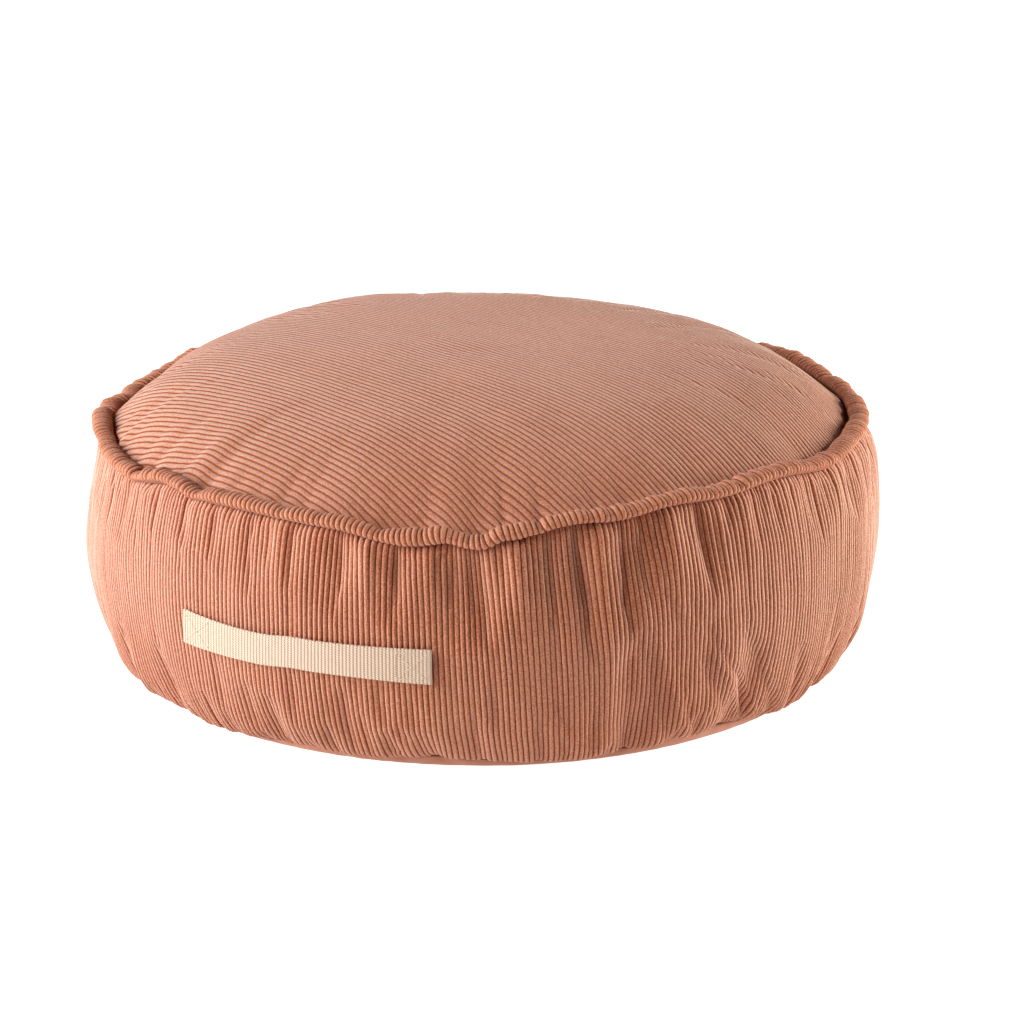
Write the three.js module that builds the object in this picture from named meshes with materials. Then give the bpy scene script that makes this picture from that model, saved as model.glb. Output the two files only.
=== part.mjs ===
// Round floor pouf: a filled drum of corduroy with a crowned top, a gathered side,
// a rolled edge sewn into the top seam, a plain base and a webbing carrying strap.
// Millimetres, +Z up. The origin is the centre of the base on the floor, -Y is the
// front, and an angle runs from the front towards +X.
import * as THREE from 'three';

// Driving dimensions
const BELLY_RADIUS = 325;
const BELLY_HEIGHT = 127;
const SEAM_HEIGHT = 196;
const CROWN_RISE = 66;
const CROWN_RADIUS = 300;
const CROWN_FLATNESS = 3.77;
const CROWN_SHOULDER = 1.406;
const CROWN_FOOT = 193.2;
const CROWN_UNDERCUT = 1;
const PUCKER_START = 4;

// The side's profile: a superellipse above the belly and another below it
const SIDE_TOP_RADIUS = 309;
const SIDE_TOP_HEIGHT = 193.1;
const SIDE_TOP_POWER = 2.07;
const SIDE_FOOT_RADIUS = 285.1;
const SIDE_FOOT_HEIGHT = 9.2;
const SIDE_FOOT_POWER = 2.13;
const SIDE_LEDGE = 3;
const SEAM_FADE_POWER = 1.5;

// The rolled edge's oval section
const ROLL_RADIUS = 309.4;
const ROLL_FOOT = 193.5;
const ROLL_HALF_WIDTH = 8.8;
const ROLL_HALF_HEIGHT = 5.7;

// The base cloth and its turned-up edge
const BASE_FLAT_RADIUS = 279;
const BASE_THICKNESS = 2.5;
const BASE_TURN_HEIGHT = 8.9;
const BASE_TURN_THINNING = 0.9;

// The webbing strap, laid along the front left of the side
const STRAP_START = -44.3;
const STRAP_END = -6.3;
const STRAP_HEIGHT = 94.3;
const STRAP_WIDTH = 28;
const STRAP_THICKNESS = 2;
const STRAP_SLACK = 1.2;

// Sewn pieces stay this far apart
const SEAM_GAP = 0.3;

// Steps round the pouf, along the strap, and round the rolled edge's section
const ROUND_STEPS = 120;
const STRAP_STEPS = 24;
const ROLL_STEPS = 8;

// The rings of the crown, as shares of its radius, and of the side, as heights
const CROWN_RINGS = [0.26, 0.52, 0.72, 0.84, 0.91, 0.955, 0.985, 0.999];
const SIDE_RINGS = [13, 20, 35, 56, 80, 104, 127, 147, 163, 175, 183, 188.5, 191.6];
const PARTING_RING = 0.6;

// How the top seam wanders: each row lifts it by up, and pushes it out by out, at one angle
const SEAM_WAVES = [
  { at: -112, up: -3, out: -3, width: 12 },
  { at: -84, up: 5, out: 0, width: 9 },
  { at: -64, up: -3, out: 1, width: 7 },
  { at: -49, up: 4, out: -1, width: 4 },
  { at: -24, up: -3, out: 0, width: 9 },
  { at: -10, up: -12, out: 1, width: 7 },
  { at: 1, up: -13, out: 2, width: 5 },
  { at: 27, up: 9, out: -1, width: 8 },
  { at: 45, up: 14, out: -1, width: 12 },
  { at: 73, up: 9, out: -1, width: 14 },
  { at: 98, up: 5, out: 1, width: 9 },
  { at: 121, up: 9, out: 0, width: 14 },
  { at: 152, up: -4, out: -1, width: 11 },
  { at: 181, up: -6, out: 1, width: 11 },
  { at: 207, up: 5, out: 0, width: 10 },
  { at: 232, up: -4, out: 1, width: 9 },
];

// Where the roll is swollen (positive) or pinched (negative), as a share of its section
const ROLL_SWELLS = [
  { at: -76, share: -0.16, width: 4 },
  { at: -46, share: -0.14, width: 4 },
  { at: -8, share: 0.22, width: 6 },
  { at: 12, share: -0.12, width: 4 },
  { at: 53, share: -0.14, width: 4 },
  { at: 98, share: -0.18, width: 4 },
  { at: 144, share: -0.12, width: 5 },
  { at: 196, share: 0.12, width: 6 },
  { at: 240, share: -0.14, width: 4 },
];

// Troughs gathered into the side at the top seam: deepest a third of the way down their reach
const TOP_GATHERS = [
  { at: -84, depth: 4, width: 3.2, reach: 60 },
  { at: -72, depth: 3, width: 3, reach: 45 },
  { at: -62, depth: 5.5, width: 3.2, reach: 62 },
  { at: -48, depth: 3, width: 3.4, reach: 40 },
  { at: -33, depth: 3, width: 3.2, reach: 48 },
  { at: -19, depth: 4, width: 3.2, reach: 58 },
  { at: -11, depth: 3.5, width: 3, reach: 46 },
  { at: -2, depth: 7, width: 3.6, reach: 76 },
  { at: 11, depth: 6, width: 3.4, reach: 70 },
  { at: 21, depth: 4.5, width: 3.2, reach: 56 },
  { at: 31, depth: 4.5, width: 3.2, reach: 62 },
  { at: 42, depth: 3.5, width: 3.2, reach: 50 },
  { at: 53, depth: 5, width: 3.4, reach: 60 },
  { at: 66, depth: 4, width: 3.2, reach: 48 },
  { at: 80, depth: 5, width: 3.4, reach: 60 },
  { at: 95, depth: 4, width: 3.4, reach: 50 },
  { at: 109, depth: 5, width: 3.4, reach: 64 },
  { at: 124, depth: 3.5, width: 3.2, reach: 46 },
  { at: 137, depth: 5.5, width: 3.4, reach: 66 },
  { at: 151, depth: 4, width: 3.2, reach: 50 },
  { at: 166, depth: 5, width: 3.4, reach: 62 },
  { at: 179, depth: 3.5, width: 3.2, reach: 48 },
  { at: 193, depth: 5.5, width: 3.4, reach: 70 },
  { at: 207, depth: 4, width: 3.2, reach: 50 },
  { at: 220, depth: 5, width: 3.4, reach: 60 },
  { at: 235, depth: 4, width: 3.2, reach: 46 },
  { at: 249, depth: 5.5, width: 3.4, reach: 64 },
  { at: 263, depth: 3.5, width: 3.2, reach: 50 },
];

// Troughs gathered into the side at the base seam
const BASE_GATHERS = [
  { at: -74, depth: 4, width: 3.4, reach: 46 },
  { at: -52, depth: 5, width: 3.6, reach: 58 },
  { at: -31, depth: 3, width: 3.2, reach: 34 },
  { at: -8, depth: 2.5, width: 3.2, reach: 28 },
  { at: 19, depth: 5, width: 3, reach: 30 },
  { at: 38.5, depth: 8, width: 3.4, reach: 84 },
  { at: 60, depth: 4.5, width: 3.4, reach: 50 },
  { at: 86, depth: 5, width: 3.4, reach: 58 },
  { at: 112, depth: 4, width: 3.4, reach: 42 },
  { at: 140, depth: 6, width: 3.4, reach: 70 },
  { at: 167, depth: 4, width: 3.4, reach: 44 },
  { at: 191, depth: 5, width: 3.4, reach: 56 },
  { at: 216, depth: 4.5, width: 3.4, reach: 48 },
  { at: 243, depth: 6, width: 3.4, reach: 66 },
  { at: 267, depth: 4, width: 3.4, reach: 44 },
];

// Puckers drawn into the top panel at its edge
const CROWN_PUCKERS = [
  { at: -52, depth: 3, width: 3.4, reach: 36 },
  { at: -27, depth: 2.5, width: 3.2, reach: 30 },
  { at: 5, depth: 4, width: 3.2, reach: 44 },
  { at: 14, depth: 3.5, width: 3, reach: 36 },
  { at: 34, depth: 3.5, width: 3.4, reach: 40 },
  { at: 58, depth: 3, width: 3.4, reach: 34 },
  { at: 101, depth: 3, width: 3.4, reach: 36 },
  { at: 148, depth: 3.5, width: 3.4, reach: 40 },
  { at: 188, depth: 3, width: 3.4, reach: 34 },
  { at: 226, depth: 3.5, width: 3.4, reach: 38 },
  { at: 262, depth: 3, width: 3.4, reach: 32 },
];

// How the strap wanders up and down between its ends
const STRAP_DROOPS = [
  { at: -46, up: 3, width: 5 },
  { at: -31, up: -1.5, width: 6 },
];

const radians = (degrees) => degrees * Math.PI / 180;

// A smooth bump of height 1 at one angle, falling away over width degrees on each side
function bump(angle, at, width) {
  const turn = ((angle - at) % 360 + 540) % 360 - 180;
  return Math.exp(-((turn / width) ** 2));
}

// The sum of one column of a table's bumps at an angle
const blend = (table, column, angle) => table.reduce(
  (sum, row) => sum + row[column] * bump(angle, row.at, row.width),
  0,
);
const seamRise = (angle) => blend(SEAM_WAVES, 'up', angle);
const seamPush = (angle) => blend(SEAM_WAVES, 'out', angle);
const rollSwell = (angle) => blend(ROLL_SWELLS, 'share', angle);

// How far the gathers of a table draw the cloth in, at a distance from their seam
function gatherDepth(table, angle, distance) {
  let depth = 0;
  for (const row of table) {
    const run = 3 * distance / row.reach;
    depth += row.depth * bump(angle, row.at, row.width) * run * Math.exp(1 - run);
  }
  return depth;
}

const polar = (radius, angle, height) => new THREE.Vector3(
  radius * Math.sin(radians(angle)),
  -radius * Math.cos(radians(angle)),
  height,
);

// The side's plain radius at a height, before its gathers
function sideRadius(height) {
  const above = height > BELLY_HEIGHT;
  const endHeight = above ? SIDE_TOP_HEIGHT : SIDE_FOOT_HEIGHT;
  const endRadius = above ? SIDE_TOP_RADIUS : SIDE_FOOT_RADIUS;
  const power = above ? SIDE_TOP_POWER : SIDE_FOOT_POWER;
  const share = Math.min(1, Math.abs((height - BELLY_HEIGHT) / (endHeight - BELLY_HEIGHT)));
  return endRadius + (BELLY_RADIUS - endRadius) * (1 - share ** power) ** (1 / power);
}

// A closed shell from rings of points, running from one pole on the axis to the other,
// upwards or downwards. Each ring is a function of the angle.
function shell(firstPole, rings, lastPole) {
  const points = [firstPole];
  for (const ring of rings) {
    for (let step = 0; step < ROUND_STEPS; step += 1) {
      points.push(ring(step * 360 / ROUND_STEPS));
    }
  }
  points.push(lastPole);
  const rising = lastPole.z > firstPole.z;
  const faces = [];
  const addFace = (a, b, c) => faces.push(a, rising ? c : b, rising ? b : c);
  const at = (ring, step) => 1 + ring * ROUND_STEPS + step % ROUND_STEPS;
  for (let step = 0; step < ROUND_STEPS; step += 1) {
    addFace(0, at(0, step), at(0, step + 1));
    for (let ring = 0; ring + 1 < rings.length; ring += 1) {
      addFace(at(ring, step), at(ring + 1, step), at(ring + 1, step + 1));
      addFace(at(ring, step), at(ring + 1, step + 1), at(ring, step + 1));
    }
    addFace(at(rings.length - 1, step), points.length - 1, at(rings.length - 1, step + 1));
  }
  return surface(points, faces);
}

function surface(points, faces) {
  const geometry = new THREE.BufferGeometry();
  const coordinates = points.flatMap((point) => point.toArray());
  geometry.setAttribute('position', new THREE.Float32BufferAttribute(coordinates, 3));
  geometry.setIndex(faces);
  geometry.computeVertexNormals();
  return geometry;
}

// The face where the top's filling meets the side's: it follows the wandering seam at its
// edge and lies level in the middle. lift moves it up or down by half a gap.
function partingRing(share, lift) {
  return (angle) => {
    const radius = share * (CROWN_RADIUS - CROWN_UNDERCUT + seamPush(angle));
    const rise = seamRise(angle) * share ** 2;
    return polar(radius, angle, CROWN_FOOT + rise + lift);
  };
}

// The crown's height over its foot at a share of its radius
const crownRise = (share) => SEAM_HEIGHT - CROWN_FOOT
  + CROWN_RISE * (1 - share ** CROWN_FLATNESS) ** (1 / CROWN_SHOULDER);

function topPanel() {
  const lift = SEAM_GAP / 2;
  const crownRing = (share) => (angle) => {
    const radius = share * (CROWN_RADIUS + seamPush(angle) * share ** 3);
    const sink = gatherDepth(CROWN_PUCKERS, angle, CROWN_RADIUS - radius + PUCKER_START);
    const rise = seamRise(angle) * share ** 3;
    return polar(radius, angle, CROWN_FOOT + rise + crownRise(share) - sink * share);
  };
  return shell(
    polar(0, 0, CROWN_FOOT + crownRise(0)),
    [...CROWN_RINGS.map(crownRing), partingRing(1, lift), partingRing(PARTING_RING, lift)],
    polar(0, 0, CROWN_FOOT + lift),
  );
}

// The side cloth's surface at a height of the plain profile, with its gathers drawn in.
// The seam's rise fades out down to the belly.
function sidePoint(angle, height) {
  const fromTop = SIDE_TOP_HEIGHT - height;
  const fromFoot = height - SIDE_FOOT_HEIGHT;
  const near = Math.max(0, 1 - fromTop / (SIDE_TOP_HEIGHT - BELLY_HEIGHT)) ** SEAM_FADE_POWER;
  const drawn = gatherDepth(TOP_GATHERS, angle, fromTop) + gatherDepth(BASE_GATHERS, angle, fromFoot);
  return polar(
    sideRadius(height) + seamPush(angle) * near - drawn,
    angle,
    height + seamRise(angle) * near,
  );
}

// A turned-up edge seen in section: a quarter oval from the floor to the base seam
function turnedEdge(inset, share) {
  const turn = share * Math.PI / 2;
  const run = SIDE_FOOT_RADIUS - BASE_FLAT_RADIUS;
  const radius = BASE_FLAT_RADIUS + (run - inset * BASE_TURN_THINNING) * Math.sin(turn);
  const height = inset + (BASE_TURN_HEIGHT - inset) * (1 - Math.cos(turn));
  return (angle) => polar(radius, angle, height);
}

function sideBand() {
  const flank = SIDE_RINGS.map((height) => (angle) => sidePoint(angle, height));
  const ledge = (angle) => {
    const radius = SIDE_TOP_RADIUS - SIDE_LEDGE + seamPush(angle);
    return polar(radius, angle, SIDE_TOP_HEIGHT + seamRise(angle));
  };
  const foot = BASE_THICKNESS + SEAM_GAP;
  return shell(
    polar(0, 0, foot),
    [
      turnedEdge(foot, 0),
      turnedEdge(foot, 0.5),
      turnedEdge(foot, 1),
      (angle) => polar(SIDE_FOOT_RADIUS, angle, SIDE_FOOT_HEIGHT),
      ...flank,
      ledge,
      partingRing(1, -SEAM_GAP / 2),
      partingRing(PARTING_RING, -SEAM_GAP / 2),
    ],
    polar(0, 0, CROWN_FOOT - SEAM_GAP / 2),
  );
}

function basePanel() {
  return shell(
    polar(0, 0, BASE_THICKNESS),
    [
      turnedEdge(BASE_THICKNESS, 0),
      turnedEdge(BASE_THICKNESS, 0.5),
      turnedEdge(BASE_THICKNESS, 1),
      turnedEdge(0, 1),
      turnedEdge(0, 0.6),
      turnedEdge(0, 0),
      (angle) => polar(BASE_FLAT_RADIUS / 2, angle, 0),
    ],
    polar(0, 0, 0),
  );
}

// A closed tube swept through cross-sections: each is a list of points, and the last joins
// the first when loop is true, or else both ends are capped.
function sweep(sections, loop) {
  const sides = sections[0].length;
  const faces = [];
  const at = (section, side) => (section % sections.length) * sides + side % sides;
  const spans = loop ? sections.length : sections.length - 1;
  for (let section = 0; section < spans; section += 1) {
    for (let side = 0; side < sides; side += 1) {
      faces.push(at(section, side), at(section + 1, side), at(section + 1, side + 1));
      faces.push(at(section, side), at(section + 1, side + 1), at(section, side + 1));
    }
  }
  if (!loop) {
    const last = sections.length - 1;
    for (let side = 1; side + 1 < sides; side += 1) {
      faces.push(at(0, 0), at(0, side), at(0, side + 1));
      faces.push(at(last, 0), at(last, side + 1), at(last, side));
    }
  }
  return surface(sections.flat(), faces);
}

function rolledEdge() {
  const sections = [];
  for (let step = 0; step < ROUND_STEPS; step += 1) {
    const angle = step * 360 / ROUND_STEPS;
    const swell = rollSwell(angle);
    const halfWidth = ROLL_HALF_WIDTH * (1 + swell / 2);
    const halfHeight = ROLL_HALF_HEIGHT * (1 + swell);
    const section = [];
    for (let side = 0; side < ROLL_STEPS; side += 1) {
      const turn = side * 2 * Math.PI / ROLL_STEPS;
      const radius = ROLL_RADIUS + seamPush(angle) + halfWidth * Math.cos(turn);
      const height = ROLL_FOOT + seamRise(angle) + halfHeight * (1 + Math.sin(turn));
      section.push(polar(radius, angle, height));
    }
    sections.push(section);
  }
  return sweep(sections, true);
}

// The strap follows the side at one height, with a little slack between its sewn ends
function strap() {
  const sections = [];
  for (let step = 0; step <= STRAP_STEPS; step += 1) {
    const share = step / STRAP_STEPS;
    const angle = STRAP_START + (STRAP_END - STRAP_START) * share;
    const lift = SEAM_GAP + STRAP_SLACK * Math.sin(Math.PI * share) ** 2;
    const centre = STRAP_HEIGHT + blend(STRAP_DROOPS, 'up', angle);
    const point = (across, depth) => {
      const height = centre + across * STRAP_WIDTH / 2;
      return polar(sideRadius(height) + lift + depth, angle, height);
    };
    const inner = [1, 0, -1].map((across) => point(across, 0));
    const outer = [-1, 0, 1].map((across) => point(across, STRAP_THICKNESS));
    sections.push([...inner, ...outer]);
  }
  return sweep(sections, false);
}

const finish = (color, roughness) => new THREE.MeshStandardMaterial({ color, roughness, metalness: 0 });
const corduroy = finish(0xc4826a, 0.95);

const pouf = new THREE.Group();

function addPiece(name, geometry, material) {
  const mesh = new THREE.Mesh(geometry, material);
  mesh.name = name;
  pouf.add(mesh);
}

addPiece('top_panel', topPanel(), corduroy);
addPiece('side_band', sideBand(), corduroy);
addPiece('rolled_edge', rolledEdge(), corduroy);
addPiece('base_panel', basePanel(), finish(0xb87860, 0.9));
addPiece('handle', strap(), finish(0xeed4b4, 0.9));

export default pouf;
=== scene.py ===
"""Floor pouf in wide-wale corduroy: crowned top, gathered side, rolled edge, base and strap.

Every length is in metres. The origin is the centre of the base on the floor, +Z is up and the
front faces -Y. An angle is in degrees round the pouf, from the front towards +X.
"""

import sys
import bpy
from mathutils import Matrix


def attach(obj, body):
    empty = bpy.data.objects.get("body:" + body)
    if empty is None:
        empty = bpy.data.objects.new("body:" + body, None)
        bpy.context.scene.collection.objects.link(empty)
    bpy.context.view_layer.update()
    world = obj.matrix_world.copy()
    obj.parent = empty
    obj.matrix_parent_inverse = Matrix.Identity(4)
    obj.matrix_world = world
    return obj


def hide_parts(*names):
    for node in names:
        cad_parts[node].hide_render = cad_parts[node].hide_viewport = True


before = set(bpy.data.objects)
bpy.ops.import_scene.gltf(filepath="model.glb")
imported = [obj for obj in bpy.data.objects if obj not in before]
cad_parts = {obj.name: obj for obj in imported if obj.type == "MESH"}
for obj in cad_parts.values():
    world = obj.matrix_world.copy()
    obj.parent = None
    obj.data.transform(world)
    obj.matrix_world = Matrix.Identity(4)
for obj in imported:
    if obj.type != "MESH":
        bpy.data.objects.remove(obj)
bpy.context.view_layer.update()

import logging
import math
from dataclasses import dataclass, field
from enum import Enum
from typing import NamedTuple

import bpy
import numpy as np
from mathutils import Vector

LOG = logging.getLogger("floor_pouf")
MM = 0.001
WALE_PITCH = 4.0 * MM
WALE_SAMPLES = np.array([0.0, 0.14, 0.5, 0.86])
UV_NAME = "wales"
PROFILE_POINTS = 4001
LENGTH_POINTS = 200
TINY = 1e-12

# The plain forms, as in the solids
BELLY_RADIUS = 0.325
BELLY_HEIGHT = 0.127
SEAM_HEIGHT = 0.196
CROWN_RADIUS = 0.300
CROWN_FOOT = 0.1932
CROWN_UNDERCUT = 0.001
PUCKER_START = 0.004
SIDE_TOP_RADIUS = 0.309
SIDE_TOP_HEIGHT = 0.1931
SIDE_TOP_POWER = 2.07
SIDE_FOOT_RADIUS = 0.2851
SIDE_FOOT_HEIGHT = 0.0092
SIDE_FOOT_POWER = 2.13
SEAM_FADE_POWER = 1.5
ROLL_RADIUS = 0.3094
ROLL_FOOT = 0.1935
ROLL_HALF_WIDTH = 0.0088
ROLL_HALF_HEIGHT = 0.0057
BASE_FLAT_RADIUS = 0.279
BASE_THICKNESS = 0.0025
BASE_TURN_HEIGHT = 0.0089
BASE_TURN_THINNING = 0.9
STRAP_START = -43.7
STRAP_END = -6.3
STRAP_HEIGHT = 0.0943
STRAP_WIDTH = 0.028
STRAP_THICKNESS = 0.002
STRAP_SLACK = 0.0012
SEAM_GAP = 0.0003


class Wave(NamedTuple):
    """A place where a line rises and pushes out: angle, two lengths, half width in degrees."""

    at: float
    up: float
    out: float
    width: float


class Swell(NamedTuple):
    """A place where the rolled edge is fatter by a share of itself."""

    at: float
    share: float
    width: float


class Gather(NamedTuple):
    """A trough that a seam draws into the cloth, deepest a third of the way down its reach.

    Its slant is how many degrees it runs round for each metre that it runs off the seam.
    """

    at: float
    depth: float
    width: float
    reach: float
    slant: float = 0.0


class Hollow(NamedTuple):
    """A soft place in the side that stands out, or in, from the plain round form."""

    at: float
    width: float
    height: float
    spread: float
    out: float


def waves(*rows: tuple[float, float, float, float]) -> tuple[Wave, ...]:
    """Makes waves from rows of angle, rise and push in millimetres, and half width."""
    return tuple(Wave(at, up * MM, out * MM, width) for at, up, out, width in rows)


def swells(*rows: tuple[float, float, float]) -> tuple[Swell, ...]:
    """Makes swells from rows of angle, share and half width."""
    return tuple(Swell(*row) for row in rows)


def gathers(*rows: tuple[float, ...]) -> tuple[Gather, ...]:
    """Makes gathers from rows of angle, depth in mm, half width, reach in mm and any slant."""
    return tuple(Gather(at, deep * MM, width, reach * MM, *slant)
                 for at, deep, width, reach, *slant in rows)


SEAM_WAVES = waves(
    (-112, -3, -3, 12), (-84, 5, 0, 9), (-64, -3, 1, 7), (-49, 4, -1, 4), (-24, -3, 0, 9),
    (-10, -12, 1, 7), (1, -13, 2, 5), (27, 9, -1, 8), (45, 14, -1, 12), (73, 9, -1, 14),
    (98, 5, 1, 9), (121, 9, 0, 14), (152, -4, -1, 11), (181, -6, 1, 11), (207, 5, 0, 10),
    (232, -4, 1, 9),
)

ROLL_SWELLS = swells(
    (-76, -0.16, 4), (-46, -0.14, 4), (-8, 0.22, 6), (12, -0.12, 4), (53, -0.14, 4),
    (98, -0.18, 4), (144, -0.12, 5), (196, 0.12, 6), (240, -0.14, 4),
)

TOP_GATHERS = gathers(
    (-84, 4, 3.2, 60), (-72, 3, 3, 45), (-62, 5.5, 3.2, 62), (-48, 3, 3.4, 40),
    (-33, 3, 3.2, 48), (-19, 4, 3.2, 58), (-11, 3.5, 3, 46), (-2, 7, 3.6, 76),
    (11, 6, 3.4, 70), (21, 4.5, 3.2, 56), (31, 4.5, 3.2, 62), (42, 3.5, 3.2, 50),
    (53, 5, 3.4, 60), (66, 4, 3.2, 48), (80, 5, 3.4, 60), (95, 4, 3.4, 50),
    (109, 5, 3.4, 64), (124, 3.5, 3.2, 46), (137, 5.5, 3.4, 66), (151, 4, 3.2, 50),
    (166, 5, 3.4, 62), (179, 3.5, 3.2, 48), (193, 5.5, 3.4, 70), (207, 4, 3.2, 50),
    (220, 5, 3.4, 60), (235, 4, 3.2, 46), (249, 5.5, 3.4, 64), (263, 3.5, 3.2, 50),
)

BASE_GATHERS = gathers(
    (-74, 4, 3.4, 46), (-52, 5, 3.6, 58), (-31, 3, 3.2, 34), (-8, 2.5, 3.2, 28),
    (19, 5, 3, 30), (38.5, 8, 3.4, 84), (60, 4.5, 3.4, 50), (86, 5, 3.4, 58),
    (112, 4, 3.4, 42), (140, 6, 3.4, 70), (167, 4, 3.4, 44), (191, 5, 3.4, 56),
    (216, 4.5, 3.4, 48), (243, 6, 3.4, 66), (267, 4, 3.4, 44),
)

SEAM_RIPPLES = waves(
    (-128, 9, 0, 9), (-100.5, -1, -6.5, 4.5), (-82, 0, -1, 5), (-32, 2.5, 0, 12),
    (1, 2.4, 0, 24), (-4.5, 1.2, 0, 1.6), (2.6, 4.5, 0, 1.8), (8, -1, 0, 1.2),
    (13.5, 3.2, 0, 4), (92, 0, -1, 12), (102, -1.5, 0, 3), (-92, -1.5, -2.5, 1.7),
    (-76, -1.8, -2, 1.6), (-59, -2.6, -1.2, 1.4), (-44.5, -2.2, -1, 1.3), (-51, 1.2, 0, 3),
    (58, -1.2, -1, 1.3), (79, -1.6, -1.4, 1.5),
)

ROLL_TUCKS = swells(
    (-108, -0.2, 1.6), (-90, -0.4, 1.8), (-74, -0.36, 1.6), (-57, -0.3, 1.6),
    (-43, -0.3, 1.4), (-28, -0.18, 1.3), (-13.8, -0.3, 2.2), (-3.5, -0.2, 1.3),
    (8, -0.2, 0.7), (15, -0.16, 1), (23, -0.2, 1.4), (33, -0.24, 1.3),
    (62, -0.26, 1.6), (84, -0.22, 1.6), (96, -0.26, 1.4), (108, -0.26, 1.4),
)

FRONT_FOLDS = gathers(
    (-39, 2, 1.2, 50), (-35, -1.6, 1, 56), (-26, 2.2, 1.1, 56), (-19, 2.6, 1.2, 60),
    (-15.5, -1.6, 0.9, 60), (-11.5, 2.4, 1.1, 52), (-6, 2, 1, 48), (0.2, 3, 1.5, 64),
    (2.8, 1.2, 0.9, 58), (4.6, -2.2, 1.1, 66), (8.3, 4.6, 1.7, 100),
    (11, -1.8, 0.9, 74), (13.4, 3, 1.2, 84), (15.7, -3.4, 0.8, 96),
    (18.4, 4.6, 1.5, 100), (22, 3, 1.2, 80), (26.5, -2, 1, 60), (31, 2.8, 1.2, 64),
    (36, 2, 1, 54),
    (46, 2.4, 1.2, 56), (57, 2.4, 1.3, 58), (71, 2.4, 1.4, 56), (-57, 2.6, 1.3, 60),
    (-67, 2.4, 1.4, 56), (-78, 2.4, 1.5, 50),
)

BASE_FOLDS = gathers(
    (28.5, -2.4, 1, 90, -62), (25.8, 2.2, 1, 80, -62), (40, -2.6, 1.1, 80, -112),
    (36.6, 2.6, 1.3, 86, -100), (43.4, -2.2, 1, 70, -122), (41.7, 2.4, 0.8, 64, -118),
    (46.5, 2.6, 1.2, 70, -110), (19, 3, 1.3, 26, 0), (-64, 3, 1.3, 60, 20),
    (-60, -1.6, 1, 60, 20), (-26, 1.6, 1, 40, 0), (6, 1.5, 1, 34, 0), (52, 2.2, 1.2, 52, -60),
    (72, 2.4, 1.3, 56, -30),
)

FOOT_WAVES = waves(
    (-74, -4.5, 0, 15), (-44, -5.6, 0, 15), (-18, -1.6, 0, 7), (-9, 0.8, 0, 4), (8, -3.4, 0, 9),
    (18.5, 2.4, 0, 1.6), (23, -0.8, 0, 2), (27, 0.9, 0, 2), (35, 1.8, 0, 6), (52, -4.6, 0, 7),
    (66, -3, 0, 9), (84, -1, 0, 8), (112, 1.2, 0, 9), (150, -1.4, 0, 12), (188, 1.3, 0, 10),
    (222, -1.2, 0, 9), (256, 1, 0, 9),
)

CROWN_FOLDS = gathers(
    (3.3, 2.4, 0.8, 32), (8.6, 2.4, 0.8, 36), (-8, 0.8, 1.4, 42), (-17, 1, 1.2, 34),
    (16.5, 1.8, 0.9, 34), (21, 1.6, 0.9, 40), (27, 1.4, 1.2, 44), (44, 1.4, 1.5, 50),
    (-30, 1.4, 1, 30), (-44, 1, 1.8, 48),
)

CROWN_INSETS = waves((80, 0, -4, 9), (-80, 0, -0.5, 14))

CROWN_PUCKERS = gathers(
    (-52, 3, 3.4, 36), (-27, 2.5, 3.2, 30), (5, 4, 3.2, 44), (14, 3.5, 3, 36),
    (34, 3.5, 3.4, 40), (58, 3, 3.4, 34), (101, 3, 3.4, 36), (148, 3.5, 3.4, 40),
    (188, 3, 3.4, 34), (226, 3.5, 3.4, 38), (262, 3, 3.4, 32),
)

STRAP_DROOPS = waves((-46, 3, 0, 5), (-31, -1.5, 0, 6), (-25.5, 1, 0, 2.5))


def bump(angle: np.ndarray, at: float, width: float, sharp: float = 2.0) -> np.ndarray:
    """Gives exp(-|(angle - at) / width|^sharp), the difference wrapped to half a turn each way."""
    return np.exp(-np.abs(((angle - at + 180.0) % 360.0 - 180.0) / width) ** sharp)


def polar(radius: np.ndarray, angle: np.ndarray, height: np.ndarray) -> np.ndarray:
    """Gives the points (radius sin angle, -radius cos angle, height).

    Args:
        radius: Distances from the axis.
        angle: Angles in degrees from the front towards +X.
        height: Heights over the floor.

    Returns:
        The points, with x, y and z along a new last axis.
    """
    turn = np.radians(angle)
    flat = np.broadcast_arrays(radius * np.sin(turn), -radius * np.cos(turn), height)
    return np.stack(flat, axis=-1)


def normals_of(points: np.ndarray, inside: np.ndarray, joined: bool = False) -> np.ndarray:
    """Gives each grid point's unit normal: the cross product of its two tangents.

    The tangents are central differences, columns taken as a loop and rows as a loop if joined.
    The sign is the one that makes the normals point away from the inside points on the whole.

    Args:
        points: Rows by columns by xyz.
        inside: Points that the surface encloses, of a shape that broadcasts to the grid.
        joined: Whether the last row is followed by the first.

    Returns:
        Unit normals of the same shape as points.
    """
    around = np.roll(points, -1, axis=1) - np.roll(points, 1, axis=1)
    if joined:
        along = np.roll(points, -1, axis=0) - np.roll(points, 1, axis=0)
    else:
        along = np.gradient(points, axis=0)
    across = np.cross(around, along)
    across /= np.maximum(np.linalg.norm(across, axis=-1, keepdims=True), TINY)
    outwards = np.sum(across * (points - inside))
    return across if outwards > 0 else -across


def wale_relief(coordinate: np.ndarray, power: float = 0.55) -> np.ndarray:
    """Gives |sin(pi c)|^power: broad round ridges parted by narrow grooves at whole numbers."""
    return np.abs(np.sin(np.pi * coordinate)) ** power


def wale_coordinates(count: int) -> np.ndarray:
    """Gives the wale coordinate of each column: every whole number plus each of WALE_SAMPLES."""
    return (np.arange(count)[:, None] + WALE_SAMPLES).ravel()


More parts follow.
